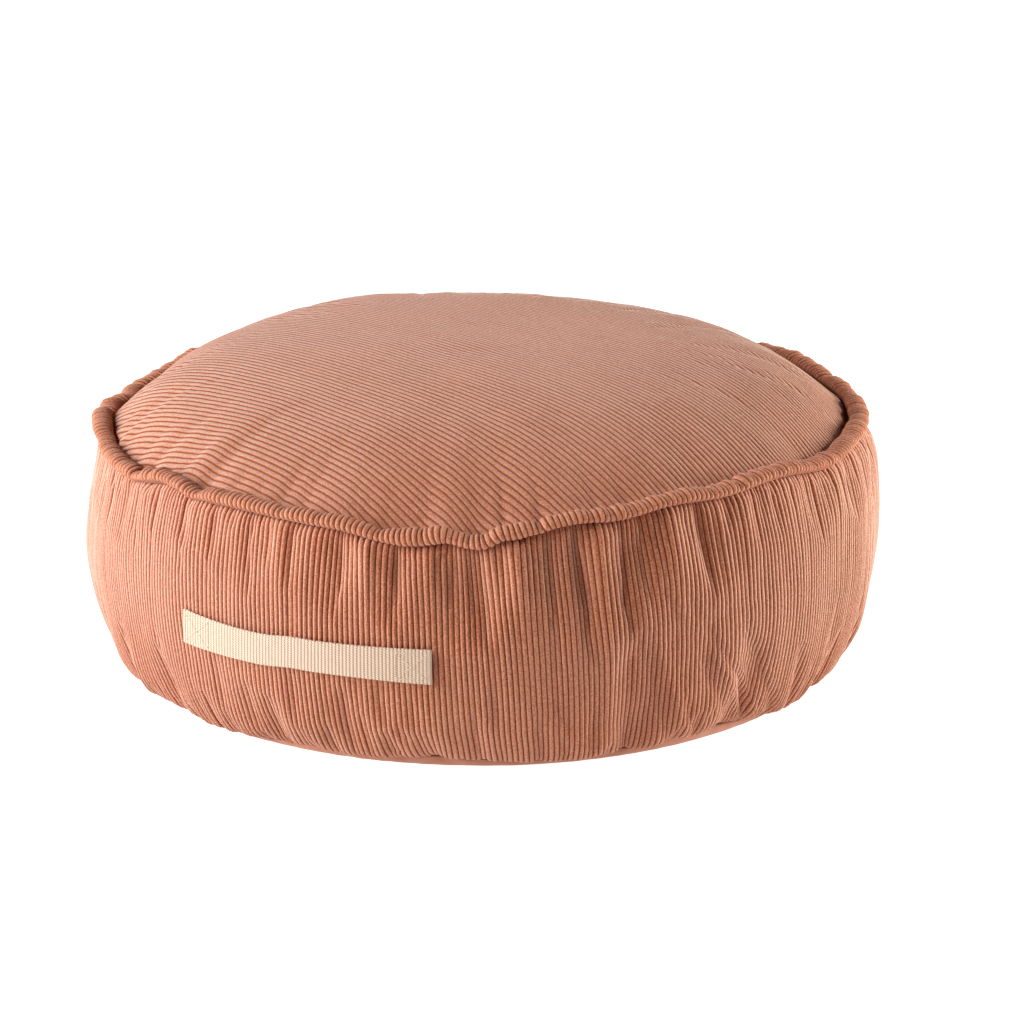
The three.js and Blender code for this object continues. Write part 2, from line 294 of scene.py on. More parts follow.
def spline_weights(part: np.ndarray) -> tuple[np.ndarray, ...]:
    """Gives the Catmull-Rom weights of the four neighbours of a place between two points.

    Args:
        part: How far the place is from the second neighbour towards the third, 0 to 1.

    Returns:
        Four weights, whose sum is 1.
    """
    square, cube = part ** 2, part ** 3
    return ((2.0 * square - part - cube) / 2.0, (2.0 - 5.0 * square + 3.0 * cube) / 2.0,
            (part + 4.0 * square - 3.0 * cube) / 2.0, (cube - square) / 2.0)


def sampled(values: np.ndarray, row: np.ndarray, column: np.ndarray) -> np.ndarray:
    """Reads a grid between its points, from the four nearest rows and columns.

    Args:
        values: Rows by columns by xyz. The last column is followed by the first.
        row: Places along the rows, counted from 0.
        column: Places along the columns, of a shape that broadcasts with row.

    Returns:
        The values there.
    """
    rows, columns = values.shape[:2]
    row, column = np.broadcast_arrays(np.clip(row, 0.0, rows - 1.0), column)
    first_row, first_column = np.floor(row).astype(int), np.floor(column).astype(int)
    total = 0.0
    for down, row_weight in enumerate(spline_weights(row - first_row), -1):
        for aside, weight in enumerate(spline_weights(column - first_column), -1):
            picked = values[np.clip(first_row + down, 0, rows - 1),
                            (first_column + aside) % columns]
            total = total + picked * (row_weight * weight)[..., None]
    return total


def placed(name: str, data: bpy.types.ID) -> bpy.types.Object:
    """Makes an object and links it to the scene.

    Args:
        name: The object's name.
        data: Its mesh, light or camera.

    Returns:
        The object, at the origin.
    """
    made = bpy.data.objects.new(name, data)
    bpy.context.scene.collection.objects.link(made)
    return made


def grid_quads(lengths: int, rows: int, columns: int) -> np.ndarray:
    """Gives the four-sided faces of a grid whose columns go round.

    Args:
        lengths: Number of steps from row to row: all the rows if they join, or one less.
        rows: Number of rows.
        columns: Number of columns.

    Returns:
        Four corners to a face, with the points counted row by row.
    """
    row, column = np.meshgrid(np.arange(lengths), np.arange(columns), indexing="ij")
    above, beside = (row + 1) % rows, (column + 1) % columns
    corners = np.stack((row * columns + column, row * columns + beside,
                        above * columns + beside, above * columns + column), axis=-1)
    return corners.reshape(-1, 4)


def mesh_piece(name: str, points: np.ndarray, faces: list[list[int]], marks: np.ndarray,
               material: bpy.types.Material) -> bpy.types.Object:
    """Makes a smooth mesh object.

    Args:
        name: The piece's name.
        points: Its points.
        faces: The corners of its faces.
        marks: The texture place of each corner of each face in turn.
        material: Its material.

    Returns:
        The object, linked to the scene at the origin.
    """
    mesh = bpy.data.meshes.new(name)
    mesh.from_pydata(points.reshape(-1, 3).tolist(), [], faces)
    layer = mesh.uv_layers.new(name=UV_NAME)
    layer.uv.foreach_set("vector", marks.astype(np.float32).ravel())
    mesh.shade_smooth()
    mesh.materials.append(material)
    return placed(name, mesh)


@dataclass(frozen=True)
class SeamLine:
    """A line that wanders up and out as its waves say: the top seam, if none are given."""

    waves: tuple[Wave, ...] = SEAM_WAVES + SEAM_RIPPLES

    def rise(self, angle: np.ndarray) -> np.ndarray:
        """Gives the sum of the waves' heights, each times its bump at the angle."""
        return sum(wave.up * bump(angle, wave.at, wave.width) for wave in self.waves)

    def push(self, angle: np.ndarray) -> np.ndarray:
        """Gives the sum of the waves' outward pushes, each times its bump at the angle."""
        return sum(wave.out * bump(angle, wave.at, wave.width) for wave in self.waves)


@dataclass(frozen=True)
class GatherSet:
    """Troughs that one seam draws into the cloth, and how they pull its wales together.

    Attributes:
        troughs: The gathers.
        pull: Share of the way that the wales turn towards a gather.
        sharp: Power in the bump across a gather. A higher one has steeper sides.
        power: Power in the depth along a gather. A lower one carries it further down.
        peak: A gather is deepest at its reach over this.
        fade: How many times the pull falls to 1 / e over a gather's reach.
    """

    troughs: tuple[Gather, ...]
    pull: float = 0.3
    sharp: float = 2.0
    power: float = 1.0
    peak: float = 3.0
    fade: float = 2.0

    @classmethod
    def seeded(cls, seed: int, count: int, depth: tuple[float, float],
               width: tuple[float, float], reach: tuple[float, float]) -> "GatherSet":
        """Makes small gathers spread round the seam at seeded places.

        Args:
            seed: Seed of the draws.
            count: Number of gathers.
            depth: Least and greatest depth.
            width: Least and greatest half width in degrees.
            reach: Least and greatest reach from the seam.

        Returns:
            The set, one gather in each of count equal sectors.
        """
        draw = np.random.default_rng(seed)
        at = (np.arange(count) + draw.uniform(0.0, 1.0, count)) * 360.0 / count
        columns = (at, draw.uniform(*depth, count), draw.uniform(*width, count),
                   draw.uniform(*reach, count))
        troughs = tuple(Gather(*row) for row in zip(*columns))
        return cls(troughs, pull=0.15, sharp=1.5, power=0.6)

    def drawn(self, angle: np.ndarray, distance: np.ndarray) -> np.ndarray:
        """Gives how far the gathers draw the cloth in.

        It is the sum of depth * bump * (run * exp(1 - run))^power, where run is three times
        the distance from the seam over the gather's reach.

        Args:
            angle: Angles round the pouf.
            distance: Distances from the seam.

        Returns:
            Depths, of the shape that the two broadcast to.
        """
        total = 0.0
        for trough in self.troughs:
            run = self.peak * np.maximum(distance, 0.0) / trough.reach
            middle = trough.at + trough.slant * distance
            total = total + (trough.depth * (run * np.exp(1.0 - run)) ** self.power
                             * bump(angle, middle, trough.width, self.sharp))
        return total

    def drift(self, angle: np.ndarray, distance: np.ndarray) -> np.ndarray:
        """Gives how far the wales turn towards the gathers, in degrees.

        It is the sum of -pull * (angle - at) * bump * exp(-2 distance / reach), and the other
        way where a fold stands out instead.

        Args:
            angle: Angles round the pouf.
            distance: Distances from the seam.

        Returns:
            Turns in degrees, of the shape that the two broadcast to.
        """
        total = 0.0
        for trough in self.troughs:
            middle = trough.at + trough.slant * distance
            offset = (angle - middle + 180.0) % 360.0 - 180.0
            near = np.exp(-self.fade * np.maximum(distance, 0.0) / trough.reach)
            total = total - (math.copysign(self.pull, trough.depth) * offset * near
                             * np.exp(-(offset / trough.width) ** 2))
        return total


@dataclass(frozen=True)
class Unevenness:
    """Soft seeded unevenness: a sum of cosines of two coordinates, scaled to a typical height."""

    seed: int
    height: float
    first: tuple[float, float]
    second: tuple[float, float]
    count: int = 24

    def at(self, first: np.ndarray, second: np.ndarray) -> np.ndarray:
        """Gives the sum of cos(m first + n second + phase) * height / sqrt(count / 2).

        Args:
            first: First coordinate, in radians if it goes round, with whole frequencies m.
            second: Second coordinate, with frequencies n of either sign.

        Returns:
            Heights, of the shape that the two broadcast to.
        """
        draw = np.random.default_rng(self.seed)
        total = 0.0
        for _ in range(self.count):
            m = round(draw.uniform(*self.first))
            n = draw.uniform(*self.second) * draw.choice((-1.0, 1.0))
            total = total + np.cos(m * first + n * second + draw.uniform(0.0, 2.0 * np.pi))
        return total * self.height / math.sqrt(self.count / 2.0)


class Ends(Enum):
    """How a lattice's first and last rows are closed."""

    POLES = "poles"
    JOINED = "joined"


@dataclass
class Lattice:
    """A grid of points whose columns go round, made a closed mesh.

    Attributes:
        points: Rows by columns by xyz. The last column is followed by the first.
        marks: Texture places, rows by (columns + 1) by uv, or one row more if the rows join.
        poles: The two points that close the first and the last row, if they don't join.
    """

    points: np.ndarray
    marks: np.ndarray
    poles: np.ndarray | None = None

    @property
    def ends(self) -> Ends:
        """Says whether the rows join or end at poles."""
        return Ends.JOINED if self.poles is None else Ends.POLES

    def _walls(self) -> tuple[np.ndarray, np.ndarray]:
        """Gives the grid's four-sided faces.

        Returns:
            Their corners, and the corners' places in the marks.
        """
        rows, columns = self.points.shape[:2]
        lengths = rows if self.ends is Ends.JOINED else rows - 1
        row, column = np.meshgrid(np.arange(lengths), np.arange(columns), indexing="ij")
        wide = columns + 1
        mark = row * wide + column
        places = np.stack((mark, mark + 1, mark + wide + 1, mark + wide), axis=-1)
        return grid_quads(lengths, rows, columns), places.reshape(-1, 4)

    def _lids(self) -> tuple[np.ndarray, np.ndarray]:
        """Gives the two fans of faces at the poles.

        Returns:
            Their corners, and the corners' places in the marks.
        """
        rows, columns = self.points.shape[:2]
        column = np.arange(columns)
        beside = (column + 1) % columns
        last, pole = (rows - 1) * columns, rows * columns
        first_fan = np.stack((np.full(columns, pole), beside, column), axis=-1)
        last_fan = np.stack((np.full(columns, pole + 1), last + column, last + beside), axis=-1)
        last_mark = (rows - 1) * (columns + 1)
        first_places = np.stack((column, column + 1, column), axis=-1)
        last_places = np.stack((last_mark + column, last_mark + column,
                                last_mark + column + 1), axis=-1)
        return np.concatenate((first_fan, last_fan)), np.concatenate((first_places, last_places))

    def make(self, name: str, material: bpy.types.Material) -> bpy.types.Object:
        """Makes the mesh object, smooth, with its faces outwards.

        Args:
            name: The piece's name.
            material: Its material.

        Returns:
            The object, linked to the scene at the origin.
        """
        points = self.points.reshape(-1, 3)
        quads, quad_places = self._walls()
        fans, fan_places = np.empty((0, 3), int), np.empty((0, 3), int)
        if self.ends is Ends.POLES:
            points = np.concatenate((points, self.poles))
            fans, fan_places = self._lids()
        loose = np.concatenate((quads[:, :3], quads[:, [0, 2, 3]], fans))
        first, second, third = (points[loose[:, side]] for side in range(3))
        if np.sum(first * np.cross(second, third)) < 0.0:
            quads, quad_places = quads[:, ::-1], quad_places[:, ::-1]
            fans, fan_places = fans[:, ::-1], fan_places[:, ::-1]
        places = np.concatenate((quad_places.ravel(), fan_places.ravel()))
        marks = self.marks.reshape(-1, 2)[places]
        return mesh_piece(name, points, quads.tolist() + fans.tolist(), marks, material)


@dataclass(frozen=True)
class Filling:
    """The soft filling, which presses a coarse copy of the cloth out in a short simulation."""

    slack: float
    pressure: float = 4.0
    frames: int = 20
    quality: int = 5
    most: float = 6.0 * MM

    def settled(self, points: np.ndarray, angle: np.ndarray, held: np.ndarray) -> np.ndarray:
        """Gives how the cloth moves as it is filled, without what a whole row moves alike.

        Args:
            points: Rows by columns by xyz, with the rows in the order that faces them outwards.
            angle: The columns' angles.
            held: How firmly each row is held, 0 to 1.

        Returns:
            The moves, d / sqrt(1 + (|d| / most)^2), of the same shape as points.
        """
        moves = self._simulated(points, held) - points
        outwards = polar(1.0, angle, 0.0)[None]
        out = np.sum(moves * outwards, axis=-1, keepdims=True)
        moves = moves - out.mean(axis=1, keepdims=True) * outwards
        moves[..., 2] -= moves[..., 2].mean(axis=1, keepdims=True)
        size = np.linalg.norm(moves, axis=-1, keepdims=True)
        LOG.info("filling: moves up to %.1f mm, %.2f mm on the mean",
                 size.max() / MM, size.mean() / MM)
        return moves / np.sqrt(1.0 + (size / self.most) ** 2)

    def _simulated(self, points: np.ndarray, held: np.ndarray) -> np.ndarray:
        """Runs the cloth on a copy, which is removed afterwards.

        Args:
            points: The cloth's points as it starts.
            held: How firmly each row is held.

        Returns:
            The points as it ends.
        """
        rows, columns = points.shape[:2]
        mesh = bpy.data.meshes.new("filling_trial")
        quads = grid_quads(rows - 1, rows, columns)
        mesh.from_pydata(points.reshape(-1, 3).tolist(), [], quads.tolist())
        trial = placed("filling_trial", mesh)
        scene = bpy.context.scene
        group = trial.vertex_groups.new(name="held")
        for number, weight in enumerate(held.tolist()):
            group.add(list(range(number * columns, (number + 1) * columns)), weight, "REPLACE")
        cloth = trial.modifiers.new("cloth", "CLOTH")
        cloth.settings.vertex_group_mass = group.name
        cloth.settings.use_pressure = True
        cloth.settings.uniform_pressure_force = self.pressure
        cloth.settings.shrink_min = -self.slack
        cloth.settings.quality = self.quality
        cloth.settings.effector_weights.gravity = 0.0
        cloth.point_cache.frame_start, cloth.point_cache.frame_end = 1, self.frames
        for frame_number in range(1, self.frames + 1):
            scene.frame_set(frame_number)
        filled = trial.evaluated_get(bpy.context.evaluated_depsgraph_get()).data
        places = np.empty(len(filled.vertices) * 3, np.float32)
        filled.vertices.foreach_get("co", places)
        bpy.data.objects.remove(trial)
        bpy.data.meshes.remove(mesh)
        scene.frame_set(1)
        return places.astype(float).reshape(points.shape)


class Signal:
    """The output of a node, with operators that add Math nodes."""

    def __init__(self, graph: "Graph", socket: bpy.types.NodeSocket) -> None:
        """Keeps the graph and the socket."""
        self.graph = graph
        self.socket = socket

    def _math(self, operation: str, *terms: "Signal | float") -> "Signal":
        """Adds one Math node on the terms in order."""
        return self.graph.node("ShaderNodeMath", {"operation": operation}, dict(enumerate(terms)))

    def __add__(self, other: "Signal | float") -> "Signal":
        """Adds."""
        return self._math("ADD", self, other)

    def __sub__(self, other: "Signal | float") -> "Signal":
        """Subtracts."""
        return self._math("SUBTRACT", self, other)

    def __rsub__(self, other: "Signal | float") -> "Signal":
        """Subtracts this from the other."""
        return self._math("SUBTRACT", other, self)

    def __mul__(self, other: "Signal | float") -> "Signal":
        """Multiplies."""
        return self._math("MULTIPLY", self, other)

    def __pow__(self, other: "Signal | float") -> "Signal":
        """Raises to a power."""
        return self._math("POWER", self, other)

    __radd__ = __add__
    __rmul__ = __mul__

    def fraction(self) -> "Signal":
        """Gives the part after the point."""
        return self._math("FRACT", self)

    def sine(self) -> "Signal":
        """Gives the sine."""
        return self._math("SINE", self)

    def absolute(self) -> "Signal":
        """Gives the size without the sign."""
        return self._math("ABSOLUTE", self)

    def step(self, low: float, high: float) -> "Signal":
        """Rises smoothly from 0 at low to 1 at high."""
        settings = {"interpolation_type": "SMOOTHSTEP"}
        return self.graph.node("ShaderNodeMapRange", settings, {0: self, 1: low, 2: high})


Value = Signal | float | tuple[float, ...]


class Graph:
    """The node tree of a material or of the world."""

    def __init__(self, owner: bpy.types.Material | bpy.types.World) -> None:
        """Empties the owner's tree.

        Args:
            owner: The material or world.
        """
        owner.use_nodes = True
        self.tree = owner.node_tree
        self.tree.nodes.clear()

    def node(self, kind: str, settings: dict | None = None, values: dict | None = None,
             output: str | int = 0) -> Signal | None:
        """Adds a node.

        Args:
            kind: The node's type.
            settings: Its own settings, set first.
            values: Numbers, colours or signals for its inputs, by name or by position.
            output: The output that is wanted, by name or by position.

        Returns:
            That output, or None for a node without outputs.
        """
        made = self.tree.nodes.new(kind)
        for name, setting in (settings or {}).items():
            setattr(made, name, setting)
        for name, value in (values or {}).items():
            if isinstance(value, Signal):
                self.tree.links.new(value.socket, made.inputs[name])
            else:
                made.inputs[name].default_value = value
        return Signal(self, made.outputs[output]) if made.outputs else None

    def object_place(self) -> Signal:
        """Gives the place on the piece in object coordinates."""
        return self.node("ShaderNodeTexCoord", output="Object")

    def marks(self) -> tuple[Signal, Signal]:
        """Gives the two texture coordinates.

        Returns:
            The one across the wales and the one along them.
        """
        place = self.node("ShaderNodeUVMap", {"uv_map": UV_NAME})
        parts = self.node("ShaderNodeSeparateXYZ", values={0: place})
        return parts, Signal(self, parts.socket.node.outputs[1])

    def noise(self, place: Signal, scale: float, detail: float = 2.0,
              roughness: float = 0.5) -> Signal:
        """Gives a noise between about 0.25 and 0.75 over a place.

        Args:
            place: Coordinates.
            scale: Features to a metre, or to a unit of the coordinates.
            detail: Octaves.
            roughness: Share of each finer octave.

        Returns:
            The noise's factor.
        """
        values = {"Vector": place, "Scale": scale, "Detail": detail, "Roughness": roughness}
        return self.node("ShaderNodeTexNoise", values=values, output="Fac")

    def vector(self, x: Value, y: Value, z: Value = 0.0) -> Signal:
        """Joins three values into a vector."""
        return self.node("ShaderNodeCombineXYZ", values={0: x, 1: y, 2: z})

    def mixed(self, share: Value, first: Value, second: Value) -> Signal:
        """Mixes two colours.

        Args:
            share: How much of the second is taken.
            first: First colour.
            second: Second colour.

        Returns:
            The mixed colour.
        """
        settings = {"data_type": "RGBA", "clamp_factor": True}
        return self.node("ShaderNodeMix", settings, {0: share, 6: first, 7: second}, output=2)

    def bumped(self, height: Signal, strength: float, distance: float) -> Signal:
        """Gives the normal that a height adds."""
        values = {"Strength": strength, "Distance": distance, "Height": height}
        return self.node("ShaderNodeBump", values=values)

    def surface(self, values: dict, under: dict | None = None,
                cover: Signal | None = None) -> None:
        """Ends a material's tree.

        Args:
            values: Inputs of its Principled BSDF.
            under: Inputs of a second one that shows where the first doesn't cover it.
            cover: How much the first covers the second.
        """
        shader = self.node("ShaderNodeBsdfPrincipled", values=values)
        if under is not None:
            below = self.node("ShaderNodeBsdfPrincipled", values=under)
            shader = self.node("ShaderNodeMixShader", values={0: cover, 1: below, 2: shader})
        self.node("ShaderNodeOutputMaterial", values={"Surface": shader})


def colour(red: float, green: float, blue: float) -> tuple[float, float, float, float]:
    """Gives a full colour from linear parts."""
    return (red, green, blue, 1.0)


@dataclass(frozen=True)
class Corduroy:
    """Wide-wale corduroy with a short brushed pile: lit ridges, grooves with painted shade, a pale
    sheen, part real and part painted.
    """

    name: str = "corduroy"
    ridge: tuple = colour(0.46, 0.136, 0.060)
    # The groove colour is painted shade, laid into the grooves between the wales.
    groove_shade: tuple = colour(0.17, 0.035, 0.013)
    brushed: tuple = colour(0.65, 0.265, 0.157)
    # The tips colour and spread make a painted sheen: a pale colour over the ridge tops that grows
    # where the surface is seen from the side.
    painted_sheen: tuple = colour(0.71, 0.44, 0.325)
    spread: float = 1.3
    sheen: float = 0.4
    sheen_roughness: float = 0.5
    sheen_tint: tuple = colour(1.0, 0.8, 0.75)
    patch_scale: float = 11.0
    tuft_scale: float = 820.0
    pile_bump: float = 0.8 * MM
    # The painted sheen is full from this height up, and weaker below it.
    sheen_full_height: float = 0.13

    def material(self) -> bpy.types.Material:
        """Makes the material: painted shade in the grooves by wale, patches and streaks of nap,
        tufts, and a sheen, part real and part painted.

        A pale colour laid over the ridge tops is a painted sheen: it covers the pile more the more
        the surface is seen from the side, and less low on the side, up to the height where it is
        full.

        Returns:
            The material.
        """
        made = bpy.data.materials.new(self.name)
        graph = Graph(made)
        place = graph.object_place()
        across, along = graph.marks()
        ridge = (across.fraction() * math.pi).sine() ** 0.8
        patches = graph.noise(place, self.patch_scale, 3.0, 0.55)
        streaks = graph.noise(graph.vector(across * 0.8, along * 0.035), 1.0, 2.0)
        tufts = graph.noise(place, self.tuft_scale, 1.0, 0.6)
        fleck = tufts.step(0.34, 0.66)
        nap = patches.step(0.35, 0.68) * 0.3 + streaks.step(0.3, 0.7) * 0.25
        nap = nap + (fleck - 0.3) * 0.5
        # Painted shade: the grooves between the wales take the dark groove colour, and random
        # flecks of the pile take some of it.
        body = ridge.step(0.08, 0.6) * (0.72 + fleck * 0.28)
        shade = graph.mixed(body, self.groove_shade, graph.mixed(nap, self.ridge, self.brushed))
        height = tufts * 1.4 + ridge * 0.4
        # Painted sheen: the pale colour covers the ridge tops by how far the surface turns from
        # the view, less low on the side.
        aside = graph.node("ShaderNodeLayerWeight", values={"Blend": 0.5}, output="Facing")
        tops = ridge.step(0.4, 0.85) * (0.6 + fleck * 0.4)
        level = graph.node("ShaderNodeSeparateXYZ", values={0: place}, output="Z")
        lifted = 0.5 + level.step(0.0, self.sheen_full_height) * 0.5
        graph.surface({
            "Base Color": self.painted_sheen,
            "Roughness": 0.92,
            "Specular IOR Level": 0.15,
            "Sheen Weight": self.sheen,
            "Sheen Roughness": self.sheen_roughness,
            "Sheen Tint": self.sheen_tint,
            "Normal": graph.bumped(height, 0.7, self.pile_bump),
        }, under={
            "Base Color": shade,
            "Roughness": 1.0,
            "Specular IOR Level": 0.0,
            "Normal": graph.bumped(height, 0.7, self.pile_bump),
        }, cover=tops * (0.05 + aside * lifted * self.spread))
        return made


@dataclass(frozen=True)
class BaseCloth:
    """Plain smooth cotton in the corduroy's colour, with a fine even weave."""

    dyed: tuple = colour(0.50, 0.2, 0.12)
    faded: tuple = colour(0.6, 0.28, 0.18)

    def material(self) -> bpy.types.Material:
        """Makes the material: a fine plain weave over soft patches of dye.

        Returns:
            The material.
        """
        made = bpy.data.materials.new("base_cloth")
        graph = Graph(made)
        place = graph.object_place()
        across, along = graph.marks()
        warp = (across * math.pi).sine().absolute()
        weft = (along * math.pi).sine().absolute()
        weave = warp * weft
        patches = graph.noise(place, 25.0, 3.0)
        threads = graph.noise(place, 900.0, 2.0)
        shade = graph.mixed(patches * 0.7 + weave * 0.3, self.dyed, self.faded)
        graph.surface({
            "Base Color": shade,
            "Roughness": 0.85,
            "Specular IOR Level": 0.2,
            "Sheen Weight": 0.3,
            "Sheen Roughness": 0.5,
            "Sheen Tint": colour(1.0, 0.85, 0.8),
            "Normal": graph.bumped(weave + threads, 0.3, 0.3 * MM),
        })
        return made


@dataclass(frozen=True)
class Webbing:
    """Unbleached cotton webbing in a ribbed weave, with painted shade in the small pit between its
    yarns.
    """

    yarn: tuple = colour(0.79, 0.575, 0.415)
    shade: tuple = colour(0.27, 0.16, 0.10)

    def material(self) -> bpy.types.Material:
        """Makes the material: painted shade in the pits where ribs and rows of yarn part and in
        the gaps between ribs, slubs and a fine fuzz.

        Returns:
            The material.
        """
        made = bpy.data.materials.new("webbing")
        graph = Graph(made)
        place = graph.object_place()
        across, along = graph.marks()
        ribs = (across * math.pi).sine().absolute()
        rows = (along * math.pi).sine().absolute()
        slubs = graph.noise(place, 260.0, 3.0)
        fuzz = graph.noise(place, 2200.0, 2.0)
        # Painted shade: the pits and the gaps between ribs take the shade colour; the slubs vary
        # the yarn's tone at random.
        pits = ((1.0 - ribs) * (1.0 - rows)).step(0.03, 0.35)
        gaps = (1.0 - ribs).step(0.35, 1.0)
        open_weave = 1.0 - pits * 0.7 - gaps * 0.3
        tone = graph.mixed(pits * 0.8 + gaps * 0.12 + slubs * 0.2, self.yarn, self.shade)
        graph.surface({
            "Base Color": tone,
            "Roughness": 0.9,
            "Specular IOR Level": 0.2,
            "Sheen Weight": 0.25,
            "Sheen Roughness": 0.5,
            "Normal": graph.bumped(open_weave + fuzz * 0.6, 0.4, 0.3 * MM),
        })
        return made


@dataclass(frozen=True)
class Thread:
    """Cream sewing thread with a soft twist."""

    yarn: tuple = colour(0.74, 0.56, 0.43)

    def material(self) -> bpy.types.Material:
        """Makes the material: two twisted plies along each stitch, with painted shade between
        them.

        Returns:
            The material.
        """
        made = bpy.data.materials.new("thread")
        graph = Graph(made)
        across, along = graph.marks()
        plies = ((across + along * 2.0) * math.pi).sine().absolute()
        # Painted shade: the valleys between the plies take a darker colour.
        ply_valley_shade = tuple(part * 0.7 for part in self.yarn[:3]) + (1.0,)
        graph.surface({
            "Base Color": graph.mixed(plies.step(0.0, 0.6), ply_valley_shade, self.yarn),
            "Roughness": 0.7,
            "Specular IOR Level": 0.3,
            "Sheen Weight": 0.2,
            "Normal": graph.bumped(plies, 0.3, 0.1 * MM),
        })
        return made


@dataclass(frozen=True)
class Floor:
    """A plain white sweep that glows, brightest where it is seen, so that it stays pale."""

    paint: tuple = colour(0.5, 0.5, 0.5)
    glow: tuple = colour(0.65, 0.65, 0.65)
    seen_glow: tuple = colour(0.99, 0.99, 0.99)

    def material(self) -> bpy.types.Material:
        """Makes the material.

        Returns:
            The material.
        """
        made = bpy.data.materials.new("studio_floor")
        graph = Graph(made)
        seen = graph.node("ShaderNodeLightPath", output="Is Camera Ray")
        graph.surface({
            "Base Color": self.paint,
            "Roughness": 1.0,
            "Specular IOR Level": 0.0,
            "Emission Color": graph.mixed(seen, self.glow, self.seen_glow),
            "Emission Strength": 1.0,
        })
        return made


def turned_edge(inset: float, share: np.ndarray) -> tuple[np.ndarray, np.ndarray]:
    """Gives the base cloth's turned-up edge in section: a quarter oval from floor to base seam.

    Args:
        inset: Distance inside the outer face.
        share: 0 on the floor to 1 at the seam.

    Returns:
        Radii and heights.
    """
    turn = share * np.pi / 2.0
    run = SIDE_FOOT_RADIUS - BASE_FLAT_RADIUS
    radius = BASE_FLAT_RADIUS + (run - inset * BASE_TURN_THINNING) * np.sin(turn)
    return radius, inset + (BASE_TURN_HEIGHT - inset) * (1.0 - np.cos(turn))


def side_radius(height: np.ndarray) -> np.ndarray:
    """Gives the side's plain radius at a height.

    Above and below the belly it is a superellipse: end + (belly - end) * (1 - share^p)^(1/p),
    with share the distance from the belly's height over the end's.

    Args:
        height: Heights between the base seam and the top seam.

    Returns:
        Radii.
    """
    above = height > BELLY_HEIGHT
    end_height = np.where(above, SIDE_TOP_HEIGHT, SIDE_FOOT_HEIGHT)
    end_radius = np.where(above, SIDE_TOP_RADIUS, SIDE_FOOT_RADIUS)
    power = np.where(above, SIDE_TOP_POWER, SIDE_FOOT_POWER)
    share = np.clip(np.abs((height - BELLY_HEIGHT) / (end_height - BELLY_HEIGHT)), 0.0, 1.0)
    return end_radius + (BELLY_RADIUS - end_radius) * (1.0 - share ** power) ** (1.0 / power)


